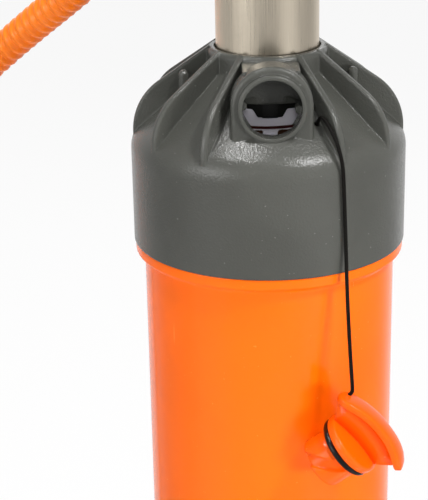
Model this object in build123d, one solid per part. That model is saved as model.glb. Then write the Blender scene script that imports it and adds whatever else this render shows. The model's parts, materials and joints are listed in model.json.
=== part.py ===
from build123d import *
import math
import os

os.makedirs("parts", exist_ok=True)

# A double-action hand pump. Millimetres, +Z up, origin on the floor at the barrel's axis.
# -Y is the front, where the mode port opens; the foot treads and the handle lie along X.

# ---- Barrel and stroke ----
barrel_od = 100.0
barrel_wall = 3.0
barrel_floor = 4.0         # the floor that carries the intake valve
barrel_skirt = 10.0        # wall that runs on below the floor
stroke = 384.0
neck_height = 26.0         # neck that the cap slides over
rim_flange_height = 4.7
rim_flange_step = 3.5      # how far the flange stands out of the barrel
snap_bead_height = 2.4
snap_bead_step = 0.9
intake_hole_r = 3.5
intake_hole_pitch_r = 12.0
intake_hole_count = 6
stem_r = 2.4               # stem of each umbrella flap
slip = 0.05                # gap of a piece seated in its own body
running = 0.05             # gap of a shaft in its bush
seat_gap = 0.3             # gap between pieces of two bodies at rest

# ---- Foot plate ----
pad_height = 3.0
pad_r = 9.0
foot_length = 240.0
foot_depth = 140.0
foot_tip_depth = 100.0
foot_flat = 80.0           # length of the straight edge at the barrel
foot_corner_r = 22.0
foot_height = 12.0
foot_wall = 3.0
foot_deck = 4.0
socket_height = 33.0
socket_wall = 5.0
socket_fit = 0.2
tread_bars = 6
tread_bar_width = 3.0
tread_bar_height = 1.6
tread_bar_pitch = 9.0
gusset_thick = 4.0
screw_r = 2.0
screw_head_r = 3.7
screw_head_height = 2.4
foot_screw_pitch_r = 36.0
foot_screw_length = 12.0

# ---- Piston ----
bumper_height = 3.0
piston_height = 30.0
piston_gap = 0.6           # gap of the hard piston in the bore
seal_gap = 0.08            # gap of the seal and of the wear ring in the bore
top_clearance = 2.0
piston_base_height = 14.0
seal_height = 5.0
seal_depth = 4.2
wear_ring_height = 9.0
wear_ring_depth = 2.4
piston_hub_height = 26.0
piston_screw_pitch_r = 31.0
piston_screw_bite = 8.4    # how deep the piston's screws go into its upper half
pin_r = 2.0

# ---- Rod ----
shaft_od = 40.0
shaft_wall = 1.5
air_tube_od = 16.0
air_tube_wall = 1.5
air_tube_drop = 3.0        # how far the air tube ends below the shaft's top
shaft_in_handle = 27.0
exposed_shaft = 36.0       # shaft seen between the cap and the handle at rest
vent_r = 3.0
vent_count = 4

# ---- Cap ----
cap_wall = 3.6
cap_fit = 0.4
cap_skirt = 42.9           # height of the corner between the skirt and the cone
cone_angle = 40.7
shoulder_r = 12.0
dome_wall = 3.0
collar_height = 8.0
collar_wall = 2.8
lip_gap = 0.7
rib_count = 11
rib_near = (29.2, 57.5)    # degrees from the port to the first two ribs on each side; the rest are even
rib_thick = 2.8
rib_edge_r = 53.0          # radius of the ribs' upright edges
rib_edge_height = 55.9     # height of the crest's line over the rim, at the skirt's radius
rib_angle = 34.3
rib_corner_r = 23.6
rib_crest_r = 0.9
post_r = 2.0               # small round posts in front of the two side ribs
post_lead = 8.0            # degrees in front of the rib
post_pitch_r = 33.0
post_rise = 69.0           # height of the posts over the rim
wiper_height = 3.0
wiper_depth = 1.3
sleeve_wall = 2.5
sleeve_height = 9.5
sleeve_tab_height = 5.0
shaft_seal_height = 2.5
gasket_height = 2.0
guide_flange = 3.0
guide_hub_height = 11.0
guide_hub_wall = 3.0
guide_drop = 7.5           # from the sleeve's solid ring down to the guide's hub
guide_neck_wall = 1.6      # wall of the bush that goes on up into the sleeve
guide_ring_height = 0.9
guide_ring_wall = 0.8
guide_spokes = 8
spoke_width = 4.0

# ---- Mode port and its plug ----
port_bore_r = 11.0
port_lip_r = 12.7
port_lip_step = 2.5
boss_r = 15.2
boss_depth = 9.8          # length of the boss's roof
boss_reach = 42.8          # distance of the boss's flat front from the barrel's axis
boss_rise = 20.1           # height of the port's axis over the cap's corner height
ledge_half = 10.6
ledge_rise = 12.4
lug_r = 1.6
lug_pitch_r = 10.7
lug_turns = (-14.5, 185.0)  # seen from the front, from the right-hand side upwards
lug_depth = 9.3            # from the lip's front to the lugs
lug_length = 5.0
port_seat_length = 5.5     # plain bore in front of the lugs
port_relief = 0.4
port_tube_length = 10.0
port_tube_sill = 6.0       # below this distance under its axis the tube is no longer than its seat
plug_flange_r = 12.6
plug_flange_thick = 3.3
spigot_r = 10.0
spigot_length = 12.8
cam_count = 3
cam_slot_width = 4.0
cam_slot_depth = 1.7
cam_start = 19.0           # degrees from the grip's length to the first slot
ring_section_r = 1.4
plug_ring_r = 10.8
grip_half = 18.0
grip_foot_half = 12.0
grip_flare = 4.6           # height of the flare over the flange
grip_rise = 18.0
grip_crown_r = 34.0
grip_rim_width = 9.0
grip_rim_thick = 2.6
grip_web_thick = 3.4
plug_centre = (26.6, -60.0, -66.3)      # from the barrel's axis and the cap's rim
plug_axis = (0.742, -0.187, 0.644)      # from the spigot to the grip
plug_grip_along = (0.632, -0.123, -0.765)

# ---- Lanyard ----
lanyard_d = 1.7
knot_r = 2.1
plug_knot_r = 1.7
lanyard_in_plug = (-15.6, 1.8, 14.2)   # in the plug's own frame: along the grip, across it, up its axis
lanyard_hole_turn = 24.7
lanyard_hole_r = 39.8
lanyard_over_turn = 26.5   # where it comes over the shoulder, beside the rib
lanyard_hang_turn = 27.8
lanyard_hang_height = 37.1  # over the rim
lanyard_gap = 0.35

# ---- Handle ----
hub_height = 60.0
hub_wall = 7.5             # from the lid's edge to the hub's outside
hub_round = 11.0
hub_foot_inset = 6.0
hub_foot_height = 16.0
hub_shoulder = 10.0
bar_rise = 32.0
bar_root_r = 19.0
bar_core_r = 13.0
bar_flare = 4.0            # how far the bar widens at its root and at the grip's stop
bar_neck = 5.0
bar_bore_r = 8.0
bar_bore_depth = 14.0
bar_length = 280.0
grip_r = 17.0
grip_start = 56.0
grip_rings = 7
grip_ring_depth = 0.8
end_cap_length = 6.0
end_plug_length = 12.0
chamber_ledge = 5.0
ledge_thick = 2.5
cover_height = 6.0
cover_edge = 1.2           # from a screw's head to the lid's edge
chamber_web = 2.0          # from a screw to the air chamber
cover_sunk = 5.0           # how deep the lid and its gasket sit in the hub
cover_gasket = 1.5
cover_screw_pitch_r = 24.5
cover_screw_r = 1.5
cover_head_r = 2.8
cover_head_seat = 2.2      # height of the screws' seats in the lid
cover_screw_length = 11.0
manifold_height = 9.0

# ---- Outlet, hose and its end fitting ----
outlet_rise = 40.0
outlet_boss_r = 13.0
outlet_bore_r = 8.0
elbow_r = 12.0
elbow_reach = 50.0         # distance of the elbow's bend from the barrel's axis
elbow_leg = 14.0
elbow_groove = 1.5
air_way_r = 4.5
hose_along = (-0.72, 0.28, -0.63)
nut_length = 12.0
nut_r = 13.0
nut_lobes = 12
cuff_length = 24.0
hose_d = 16.0
coil_centre = (0.0, 176.0)
coil_turn_r = 88.0         # middle of the coil's turns
end_fitting_tilt = 6.6     # lifts the flange clear of the floor
end_stub = 24.0
end_cuff_length = 26.0
end_body_length = 40.0
end_flange_r = 15.0
end_bore_r = 5.0

# ---- Sizes and levels that follow ----
barrel_r = barrel_od / 2
bore_r = barrel_r - barrel_wall
shaft_r = shaft_od / 2
shaft_bore_r = shaft_r - shaft_wall
air_tube_r = air_tube_od / 2
cap_r = barrel_r + cap_fit + cap_wall
cover_r = cover_screw_pitch_r + cover_head_r + cover_edge
chamber_r = cover_screw_pitch_r - cover_screw_r - chamber_web
hub_r = cover_r + hub_wall
z_deck = pad_height + foot_height
z_floor = z_deck + barrel_skirt + barrel_floor
z_piston = z_floor + bumper_height + seat_gap
z_neck_top = z_piston + piston_height + stroke + top_clearance
z_rim = z_neck_top - neck_height
z_corner = z_rim + cap_skirt
collar_r = shaft_r + lip_gap + collar_wall


def cone_z(r):
    """Height of the cap's recessed cone at a radius."""
    return z_corner + (cap_r - r) * math.tan(math.radians(cone_angle))


def crest_z(r):
    """Height of a rib's crest at a radius."""
    return z_rim + rib_edge_height + (cap_r - r) * math.tan(math.radians(rib_angle))


z_collar = cone_z(collar_r) + collar_height
z_hub = z_collar + exposed_shaft
z_shaft_top = z_hub + shaft_in_handle
z_port = z_corner + boss_rise
z_outlet = z_hub + outlet_rise
z_bar = z_hub + bar_rise
sleeve_r = shaft_r + lip_gap + sleeve_wall
guide_neck_r = shaft_r + guide_neck_wall
z_sleeve_top = cone_z(sleeve_r) - dome_wall - shaft_seal_height
z_guide = z_sleeve_top + shaft_seal_height - sleeve_height - guide_drop


def polar(r, turn, z):
    """A point at a radius and height, turned from the front towards +X."""
    a = math.radians(turn)
    return Vector(r * math.sin(a), -r * math.cos(a), z)


def lathe(points, radii=None):
    """Solid of revolution about Z from a closed (radius, height) outline."""
    radii = radii or [0] * len(points)
    line = FilletPolyline(*[(r, 0, z) for r, z in points], radius=radii, close=True)
    return revolve(make_face(line), Axis.Z)


def tube(r_out, r_in, z_low, z_high):
    """Plain ring between two heights."""
    return lathe([(r_in, z_low), (r_out, z_low), (r_out, z_high), (r_in, z_high)])


def disc(r, z_low, z_high):
    """Plain cylinder between two heights."""
    return Pos(0, 0, z_low) * Cylinder(r, z_high - z_low, align=(Align.CENTER, Align.CENTER, Align.MIN))


def bar(start, along, r, length):
    """Round bar from a point along a direction."""
    place = Plane(origin=start, z_dir=along).location
    return place * Cylinder(r, length, align=(Align.CENTER, Align.CENTER, Align.MIN))


def circle_of(piece, radius, count, start=0.0):
    """Copies of a piece on a circle about Z."""
    return [Rot(0, 0, start + 360 * i / count) * Pos(radius, 0, 0) * piece for i in range(count)]


def route_radii(points):
    """Corner radii of a cord's route, from its runs and turns."""
    v = [Vector(*p) for p in points]
    runs = [b - a for a, b in zip(v, v[1:])]
    radii = []
    for before, after in zip(runs, runs[1:]):
        turn = math.radians(before.get_angle(after))
        radii.append(0.45 * min(before.length, after.length) / math.tan(turn / 2))
    return radii


def cord(name, points, diameter):
    """Solid cord along straight runs joined by tangent arcs."""
    radii = route_radii(points)
    print(name, "corner radii", [round(r, 1) for r in radii])
    path = FilletPolyline(*points, radius=radii)
    start = Plane(origin=path @ 0, z_dir=path % 0)
    solid = sweep(start * Circle(diameter / 2), path=path)
    section = math.pi * diameter ** 2 / 4
    print(name, "length", round(path.length, 1), "volume ratio", round(solid.volume / section / path.length, 4))
    return solid


def save(name, shape):
    """Write one node as a STEP file."""
    solids = shape if isinstance(shape, list) else [shape]
    solids = [s for item in solids for s in item.solids()]
    export_step(solids[0] if len(solids) == 1 else Compound(children=solids), f"parts/{name}.step")


# ---- Barrel ----
def make_barrel():
    """Moulded barrel with its neck, rim flange, floor and screw bosses."""
    z_bead = z_rim + neck_height * 0.35
    flange_r = barrel_r + rim_flange_step
    body = lathe(
        [
            (0, z_floor - barrel_floor), (bore_r, z_floor - barrel_floor), (bore_r, z_deck),
            (barrel_r, z_deck), (barrel_r, z_rim - rim_flange_height),
            (flange_r, z_rim - rim_flange_height), (flange_r, z_rim), (barrel_r, z_rim),
            (barrel_r, z_bead), (barrel_r + snap_bead_step, z_bead + snap_bead_height / 2),
            (barrel_r, z_bead + snap_bead_height), (barrel_r, z_neck_top),
            (bore_r, z_neck_top), (bore_r, z_floor), (0, z_floor),
        ],
        [0, 0, 0, 0, 2.5, 1.2, 0.6, 0, 0, 0.5, 0, 0, 0, 0.8, 0],
    )
    boss = disc(screw_r + 2.5, z_deck, z_floor - barrel_floor)
    body += circle_of(boss, foot_screw_pitch_r, 4, 45)
    pilot = disc(screw_r + slip, z_deck, z_deck + foot_screw_length)
    body -= circle_of(pilot, foot_screw_pitch_r, 4, 45)
    hole = disc(intake_hole_r, z_floor - barrel_floor, z_floor)
    body -= circle_of(hole, intake_hole_pitch_r, intake_hole_count)
    return body - disc(stem_r + slip, z_floor - barrel_floor, z_floor)


def flap_valve(z_seat, r, web):
    """Rubber umbrella flap on a seat, held by its stem and bulb under the web."""
    return lathe(
        [
            (0, z_seat - web - 3.5), (stem_r * 0.6, z_seat - web - 3.5),
            (stem_r * 1.5, z_seat - web - slip), (stem_r, z_seat - web - slip), (stem_r, z_seat),
            (r, z_seat), (r, z_seat + 0.8), (stem_r, z_seat + 2.0), (0, z_seat + 2.0),
        ]
    )


def make_bumper():
    """Rubber ring that the piston rests on."""
    return tube(bore_r - 3, bore_r - 9, z_floor, z_floor + bumper_height)


# ---- Foot plate ----
def foot_outline():
    """Plan of the foot plate: broad at the barrel, narrower at the tips."""
    x, y, tip, flat = foot_length / 2, foot_depth / 2, foot_tip_depth / 2, foot_flat / 2
    corners = [(-x, -tip), (-flat, -y), (flat, -y), (x, -tip), (x, tip), (flat, y), (-flat, y), (-x, tip)]
    return make_face(FilletPolyline(*corners, radius=foot_corner_r, close=True))


def pad_places():
    """Centres of the six pads."""
    x, y = foot_length / 2 - 17, foot_tip_depth / 2 - 17
    near = foot_depth / 2 - 13
    return [(-x, -y), (x, -y), (x, y), (-x, y), (0, -near), (0, near)]


def make_foot_plate():
    """Hollow tread plate with a socket ring, gussets, pad bosses and grip bars."""
    outline = foot_outline()
    plate = Pos(0, 0, pad_height) * extrude(outline, foot_height)
    plate = fillet(plate.faces().sort_by(Axis.Z)[-1].edges(), 2.0)
    hollow = offset(outline, -foot_wall)
    plate -= Pos(0, 0, pad_height) * extrude(hollow, foot_height - foot_deck)
    socket_r = barrel_r + socket_fit + socket_wall
    top = z_deck + socket_height
    plate += lathe(
        [
            (barrel_r + socket_fit, pad_height + foot_wall), (socket_r + 4, pad_height + foot_wall),
            (socket_r + 4, z_deck), (socket_r, z_deck + 9), (socket_r, top), (barrel_r + socket_fit, top),
        ],
        [0, 0, 3, 6, 1.5, 1.0],
    )
    reach = foot_length / 2 - 44
    for turn in (0, 22, -22, 180, 158, 202):
        web = Polyline(
            (socket_r - 1, 0, z_deck - 1), (reach, 0, z_deck - 1), (reach, 0, z_deck),
            (socket_r - 1, 0, top - 6), close=True,
        )
        plate += Rot(0, 0, turn) * extrude(make_face(web), gusset_thick / 2, both=True, dir=(0, 1, 0))
    for side in (-1, 1):
        for i in range(tread_bars):
            x = side * (foot_length / 2 - 10 - tread_bar_pitch * i)
            span = foot_tip_depth - 26 + 4 * i
            grip = Pos(x, 0, z_deck - 0.5) * Box(
                tread_bar_width, span, tread_bar_height + 0.5, align=(Align.CENTER, Align.CENTER, Align.MIN)
            )
            if abs(x) > reach + tread_bar_width:
                plate += grip
    for x, y in pad_places():
        plate += Pos(x, y, 0) * disc(pad_r, pad_height, z_deck - 1)
        plate -= Pos(x, y, 0) * disc(pad_r / 3 + slip, pad_height, pad_height + 4)
    head_z = z_deck - foot_deck
    screw_boss = disc(screw_head_r + 2.5, pad_height + foot_wall, head_z)
    plate += circle_of(screw_boss, foot_screw_pitch_r, 4, 45)
    plate -= circle_of(disc(screw_head_r + slip, pad_height, head_z), foot_screw_pitch_r, 4, 45)
    plate -= circle_of(disc(screw_r + slip, head_z, z_deck), foot_screw_pitch_r, 4, 45)
    return plate - disc(intake_hole_pitch_r + intake_hole_r + 2, head_z, z_deck)


def make_foot_pads():
    """Rubber pads with plugs in the plate's bosses."""
    pad = lathe(
        [
            (0, 0), (pad_r - 1, 0), (pad_r, 1), (pad_r, pad_height), (pad_r / 3, pad_height),
            (pad_r / 3, pad_height + 3.8), (0, pad_height + 3.8),
        ]
    )
    return [Pos(x, y, 0) * pad for x, y in pad_places()]


def pan_screw(z_head, length, r=screw_r, head_r=screw_head_r, up=1):
    """Pan-head screw; the head's seat is at z_head and the shank runs up or down."""
    head = z_head - up * screw_head_height
    recess = z_head - up * (screw_head_height - 1.2)
    screw = lathe(
        [(0, head), (head_r - 0.8, head), (head_r, head + up * 1.0), (head_r, z_head),
         (r, z_head), (r, z_head + up * length), (0, z_head + up * length)]
    )
    slot = Pos(0, 0, (head + recess) / 2) * Box(head_r * 1.1, 1.1, 1.2)
    return screw - slot - Rot(0, 0, 90) * slot


def make_foot_screws():
    """Four screws from under the deck into the barrel's bosses."""
    return circle_of(pan_screw(z_deck - foot_deck, foot_deck + foot_screw_length - 1), foot_screw_pitch_r, 4, 45)


# ---- Cap ----
def cap_shell_inside():
    """Hollow of the cap: neck bore, gasket seat and the space under the dome."""
    neck_r = barrel_r + cap_fit
    z_bead = z_rim + neck_height * 0.35
    z_seat = z_neck_top + guide_flange + gasket_height
    wall_drop = dome_wall / math.cos(math.radians(cone_angle))
    inner_r = bore_r - 0.5
    return lathe(
        [
            (0, z_rim - 1), (neck_r, z_rim - 1), (neck_r, z_bead - 0.3),
            (neck_r + snap_bead_step, z_bead + snap_bead_height / 2),
            (neck_r, z_bead + snap_bead_height + 0.3), (neck_r, z_seat), (inner_r, z_seat),
            (inner_r, cone_z(inner_r) - wall_drop), (sleeve_r + dome_wall, cone_z(sleeve_r + dome_wall) - wall_drop),
            (0, cone_z(sleeve_r + dome_wall) - wall_drop),
        ]
    )


def rib_turns():
    """Turn of each rib from the front, in order."""
    rest = rib_count - 2 * (len(rib_near) - 1)
    last = rib_near[-1]
    step = (360 - 2 * last) / (rest - 1)
    return list(rib_near[:-1]) + [last + step * i for i in range(rest)] + [360 - t for t in rib_near[-2::-1]]


def make_rib():
    """One rib with a rounded crest, from the collar out to the skirt."""
    inner = collar_r - 1.2
    low = z_corner - 14
    line = FilletPolyline(
        (inner, 0, low), (rib_edge_r, 0, low), (rib_edge_r, 0, crest_z(rib_edge_r)), (inner, 0, crest_z(inner)),
        radius=[0, 0, rib_corner_r, 0], close=True,
    )
    rib = extrude(make_face(line), rib_thick / 2, both=True, dir=(0, 1, 0))
    crest = [e for e in rib.edges() if abs(e.center().Y) > rib_thick / 2 - 0.01 and e.center().Z > z_corner]
    crest = [e for e in crest if e.center().X > inner + 1 and e.center().X < rib_edge_r - 0.1]
    return fillet(crest, rib_crest_r)


def make_post():
    """Round post with a domed top, made at the cap's centre."""
    top = z_rim + post_rise
    return disc(post_r, z_corner, top - post_r) + Pos(0, 0, top - post_r) * Sphere(post_r)


def arch(r, front, back, low):
    """Upright arch about the port's axis, between two distances from the barrel's axis."""
    face = Plane(origin=(0, -back, 0), x_dir=(1, 0, 0), z_dir=(0, -1, 0)) * make_face(
        Polyline((-r, z_port), (-r, low), (r, low), (r, z_port))
        + ThreePointArc((r, z_port), (0, z_port + r), (-r, z_port))
    )
    return extrude(face, front - back)


def make_port_boss():
    """Arched boss of the mode port with its proud round lip and the flat ledge behind it."""
    back = shaft_r + lip_gap + 1.5
    low = z_corner + 2
    boss = arch(boss_r, boss_reach, boss_reach - boss_depth, low)
    front = boss.faces().sort_by(Axis.Y)[0]
    boss = fillet([e for e in front.edges() if e.center().Z > low + 1], 1.6)
    lip = bar((0, -back, z_port), (0, -1, 0), port_lip_r, boss_reach + port_lip_step - back)
    lip = fillet(lip.faces().sort_by(Axis.Y)[0].edges(), 0.8)
    ledge_front = boss_reach - boss_depth / 2
    behind = arch(ledge_rise, ledge_front, back, low)
    ledge = Pos(0, -(ledge_front + back) / 2, z_port) * Box(
        2 * ledge_half, ledge_front - back, ledge_rise, align=(Align.CENTER, Align.CENTER, Align.MIN)
    )
    return boss + lip + behind + ledge


def below_the_tube(front):
    """Lower inner part of the port's tube, left away behind its seat."""
    back = boss_reach + port_lip_step - port_tube_length - 0.1
    inner = bar((0, -back, z_port), (0, -1, 0), port_lip_r + 0.1, front - back)
    return inner & Pos(0, -back, z_port - port_tube_sill) * Box(
        3 * port_lip_r, 2 * port_tube_length, port_lip_r, align=(Align.CENTER, Align.CENTER, Align.MAX)
    )


def make_lugs():
    """Round lugs along the port's bore, for the plug's cams."""
    y = lug_depth - boss_reach - port_lip_step
    places = [(lug_pitch_r * math.cos(math.radians(a)), lug_pitch_r * math.sin(math.radians(a))) for a in lug_turns]
    return [bar((x, y, z_port + z), (0, 1, 0), lug_r, lug_length) for x, z in places]


def make_cap():
    """Ribbed dome cap with the shaft collar and the mode port."""
    outer = lathe(
        [
            (0, z_rim), (cap_r, z_rim), (cap_r, z_corner), (collar_r, cone_z(collar_r)),
            (collar_r, z_collar), (0, z_collar),
        ],
        [0, 0.5, shoulder_r, 1.2, 2.2, 0],
    )
    rib = make_rib()
    for turn in rib_turns():
        outer += Rot(0, 0, turn - 90) * rib
    turns = rib_turns()
    for turn in (turns[2] - post_lead, turns[-3] + post_lead):
        outer += Pos(*polar(post_pitch_r, turn, 0)) * make_post()
    outer += make_port_boss()
    cap = outer - cap_shell_inside()
    cap += tube(sleeve_r + dome_wall, sleeve_r, z_sleeve_top - 4, cone_z(sleeve_r + dome_wall))
    cap -= disc(sleeve_r, z_rim, z_sleeve_top + shaft_seal_height)
    cap -= disc(shaft_r + lip_gap, z_rim, z_collar + 1)
    z_wiper = z_collar - 2.5 - wiper_height
    cap -= disc(shaft_r + lip_gap + wiper_depth, z_wiper, z_wiper + wiper_height)
    deep = sleeve_r + dome_wall - 0.5
    port_front = boss_reach + port_lip_step
    cap += bar((0, port_tube_length - port_front, z_port), (0, -1, 0), port_lip_r, port_tube_length - 1)
    relief_front = port_front - port_seat_length
    cap -= bar((0, -deep, z_port), (0, -1, 0), port_bore_r, port_front + 1 - deep)
    cap -= bar((0, -deep, z_port), (0, -1, 0), port_bore_r + port_relief, relief_front - deep)
    cap -= below_the_tube(relief_front)
    cap += make_lugs()
    return cap - bar(*lanyard_hole(), lanyard_d / 2 + 0.25, 3 * dome_wall)


def lanyard_hole():
    """Start point, inside the cap, and direction of the lanyard's hole."""
    slope = math.radians(cone_angle)
    surface = polar(lanyard_hole_r, lanyard_hole_turn, cone_z(lanyard_hole_r))
    out = polar(math.sin(slope), lanyard_hole_turn, math.cos(slope))
    return surface - out * (2 * dome_wall), out


def make_top_guide():
    """White guide spider on the barrel's top, with air windows round its hub and a bush above it."""
    hub_r_out = shaft_r + guide_hub_wall
    flange_r = barrel_r - 0.3
    flange_top = z_neck_top + guide_flange
    guide = lathe(
        [
            (shaft_r + running, z_guide - guide_hub_height), (hub_r_out, z_guide - guide_hub_height),
            (hub_r_out + 3, z_guide - 6), (bore_r - 3, z_neck_top), (flange_r, z_neck_top),
            (flange_r, flange_top), (bore_r - 4, flange_top), (hub_r_out, z_guide - 1.5),
            (hub_r_out, z_guide), (guide_neck_r, z_guide), (guide_neck_r, z_sleeve_top - 1),
            (shaft_r + running, z_sleeve_top - 1),
        ]
    )
    outer, inner = bore_r - 5, hub_r_out
    gap = 360 / guide_spokes
    window = tube(outer, inner, z_neck_top - 2, z_guide + 1)
    for i in range(guide_spokes):
        spoke = Box(outer + 5, spoke_width, 80, align=(Align.MIN, Align.CENTER, Align.CENTER))
        window -= Rot(0, 0, gap * i - 90) * Pos(0, 0, z_guide) * spoke
    return guide - window


def make_guide_ring():
    """Red ring round the guide's bush, on top of its hub."""
    r = guide_neck_r + guide_ring_wall
    return tube(r, guide_neck_r + slip, z_guide, z_guide + guide_ring_height)


def make_guide_sleeve():
    """Castellated sleeve that carries the shaft's seal in the cap."""
    low = z_sleeve_top + shaft_seal_height - sleeve_height - 2.5
    sleeve = tube(sleeve_r - slip, guide_neck_r + 0.2, low, z_sleeve_top)
    gap = 360 / 6
    for i in range(6):
        notch = Pos(0, 0, low) * Box(sleeve_r + 2, 9, 2 * sleeve_tab_height, align=(Align.MIN, Align.CENTER, Align.CENTER))
        sleeve -= Rot(0, 0, gap * (i + 0.5) - 90) * notch
    return sleeve


def make_shaft_seal():
    """Rubber lip seal over the sleeve; it also lets air in on the way down."""
    return tube(sleeve_r - slip, shaft_r + running, z_sleeve_top, z_sleeve_top + shaft_seal_height)


def make_wiper():
    """Wiper ring in the collar's groove."""
    z_wiper = z_collar - 2.5 - wiper_height
    return tube(shaft_r + lip_gap + wiper_depth - slip, shaft_r + running, z_wiper, z_wiper + wiper_height)


def make_cap_gasket():
    """Rubber ring clamped between the guide's flange and the cap."""
    z_low = z_neck_top + guide_flange
    return tube(barrel_r - 0.4, bore_r - 0.4, z_low, z_low + gasket_height)


# ---- Rod ----
def make_shaft():
    """Hollow rod with vent holes over the piston and pin holes at its foot."""
    z_low = z_piston + piston_base_height
    body = tube(shaft_r, shaft_bore_r, z_low, z_shaft_top)
    z_vent = z_piston + piston_height + vent_r + 1.5
    for i in range(vent_count):
        turn = 360 * i / vent_count + 45
        body -= bar((0, 0, z_vent), Vector(1, 0, 0).rotate(Axis.Z, turn), vent_r, shaft_r + 1)
    z_pin = z_low + 8
    return body - bar((-shaft_r - 1, 0, z_pin), (1, 0, 0), pin_r + slip, shaft_od + 2)


def make_shaft_pins():
    """Two pins that hold the shaft on the piston's hub."""
    z_pin = z_piston + piston_base_height + 8
    reach = shaft_r - air_tube_r - 2
    return [bar((side * (shaft_r - 0.1), 0, z_pin), (-side, 0, 0), pin_r, reach - 1) for side in (-1, 1)]


def make_air_tube():
    """Inner tube that takes air up from under the piston."""
    return tube(air_tube_r, air_tube_r - air_tube_wall, z_piston + piston_hub_height, z_shaft_top - air_tube_drop)


def make_piston_base():
    """Lower half of the piston with its valve seat and the hub inside the shaft."""
    r = bore_r - piston_gap
    z = z_piston
    z_split = z + piston_base_height
    z_top = z_split + piston_hub_height
    seal_in = bore_r - seal_depth
    base = lathe(
        [
            (0, z + 4), (9, z + 4), (9, z), (r, z), (r, z_split - seal_height), (seal_in, z_split - seal_height),
            (seal_in, z_split), (shaft_bore_r - slip, z_split), (shaft_bore_r - slip, z_top),
            (air_tube_r + slip, z_top), (air_tube_r + slip, z + piston_hub_height), (9, z + piston_hub_height - 3),
            (9, z + 7), (0, z + 7),
        ],
        [0, 0, 0, 1, 0, 0, 0, 0, 0.6, 0, 0, 0, 0, 0],
    )
    base -= circle_of(disc(1.4, z + 3, z + 8), 5.4, 6)
    base -= disc(stem_r + slip, z + 3, z + 8)
    z_pin = z_split + 8
    hole = bar((-shaft_r, 0, z_pin), (1, 0, 0), pin_r + slip, shaft_r - air_tube_r - 2)
    base -= [hole, Rot(0, 0, 180) * hole]
    base -= circle_of(disc(screw_head_r + slip, z, z + screw_head_height), piston_screw_pitch_r, 4, 45)
    return base - circle_of(disc(screw_r + slip, z, z_split), piston_screw_pitch_r, 4, 45)


def make_piston_cover():
    """Upper half of the piston with the wear ring's groove."""
    r = bore_r - piston_gap
    z_low, z_top = z_piston + piston_base_height, z_piston + piston_height
    groove = bore_r - wear_ring_depth - 0.4
    cover = lathe(
        [
            (shaft_r + slip, z_low), (r, z_low), (r, z_low + 3.5), (groove, z_low + 3.5),
            (groove, z_low + 3.5 + wear_ring_height), (r, z_low + 3.5 + wear_ring_height), (r, z_top),
            (shaft_r + slip, z_top),
        ],
        [0, 0, 0, 0, 0, 0, 1, 0],
    )
    depth = piston_screw_bite + 2.6
    return cover - circle_of(disc(screw_r + slip, z_low, z_low + depth), piston_screw_pitch_r, 4, 45)


def make_piston_rings():
    """The rubber seal and the white wear ring."""
    z_split = z_piston + piston_base_height
    r = bore_r - seal_gap
    seal = tube(r, bore_r - seal_depth + slip, z_split - seal_height + slip, z_split - slip)
    z_wear = z_split + 3.5
    wear = tube(r, bore_r - wear_ring_depth, z_wear + slip, z_wear + wear_ring_height - slip)
    return seal, wear


def make_piston_screws():
    """Four screws that clamp the piston's halves."""
    length = piston_base_height - screw_head_height + piston_screw_bite
    return circle_of(pan_screw(z_piston + screw_head_height, length), piston_screw_pitch_r, 4, 45)


# ---- Handle ----
def make_handle():
    """Handle moulding: a round hub over the shaft and a straight bar along X."""
    hub = lathe(
        [
            (0, z_hub), (hub_r - hub_foot_inset, z_hub), (hub_r, z_hub + hub_foot_height),
            (hub_r, z_hub + hub_height - hub_shoulder), (cover_r + 2, z_hub + hub_height),
            (0, z_hub + hub_height),
        ],
        [0, 3, hub_round, hub_round, 2, 0],
    )
    half = bar_length / 2 - end_cap_length
    arm = Rot(0, 90, 0) * lathe(
        [
            (0, 0), (bar_root_r + bar_flare, 0), (bar_root_r, hub_r), (bar_core_r + bar_flare, grip_start - bar_neck),
            (bar_core_r + bar_flare, grip_start), (bar_core_r, grip_start), (bar_core_r, half), (bar_bore_r, half),
            (bar_bore_r, half - bar_bore_depth), (0, half - bar_bore_depth),
        ],
        [0, 0, 12, 5, 0, 0, 1, 0, 0, 0],
    )
    handle = hub + Pos(0, 0, z_bar) * arm + Rot(0, 0, 180) * Pos(0, 0, z_bar) * arm
    handle += bar((0, 0, z_outlet), (0, 1, 0), outlet_boss_r, elbow_reach - elbow_r + 1)
    handle -= disc(shaft_r + slip, z_hub - 1, z_shaft_top)
    top = z_hub + hub_height
    handle -= disc(chamber_r - chamber_ledge, z_shaft_top, z_shaft_top + ledge_thick)
    handle -= disc(chamber_r, z_shaft_top + ledge_thick, top)
    handle -= disc(cover_r + slip, top - cover_sunk, top + 1)
    pilot = cover_screw_length - cover_head_seat - cover_gasket + 1.7
    handle -= circle_of(disc(cover_screw_r + slip, top - cover_sunk - pilot, top), cover_screw_pitch_r, 4, 45)
    return handle - bar((0, 0, z_outlet), (0, 1, 0), outlet_bore_r + slip, elbow_reach)


def make_hub_cover():
    """Round lid over the hub's air chamber."""
    z_low = z_hub + hub_height - cover_sunk + cover_gasket
    cover = lathe(
        [(0, z_low), (cover_r, z_low), (cover_r, z_low + cover_height - 2), (0, z_low + cover_height)],
        [0, 0, 1.5, 0],
    )
    head = disc(cover_head_r + slip, z_low + cover_head_seat, z_low + cover_height + 1)
    cover -= circle_of(head, cover_screw_pitch_r, 4, 45)
    return cover - circle_of(disc(cover_screw_r + slip, z_low, z_low + 4), cover_screw_pitch_r, 4, 45)


def make_cover_gasket():
    """Rubber ring under the hub's lid, holed for the screws."""
    z_low = z_hub + hub_height - cover_sunk
    ring = tube(cover_r - slip, chamber_r, z_low, z_low + cover_gasket)
    return ring - circle_of(disc(cover_screw_r + slip, z_low, z_low + 4), cover_screw_pitch_r, 4, 45)


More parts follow.
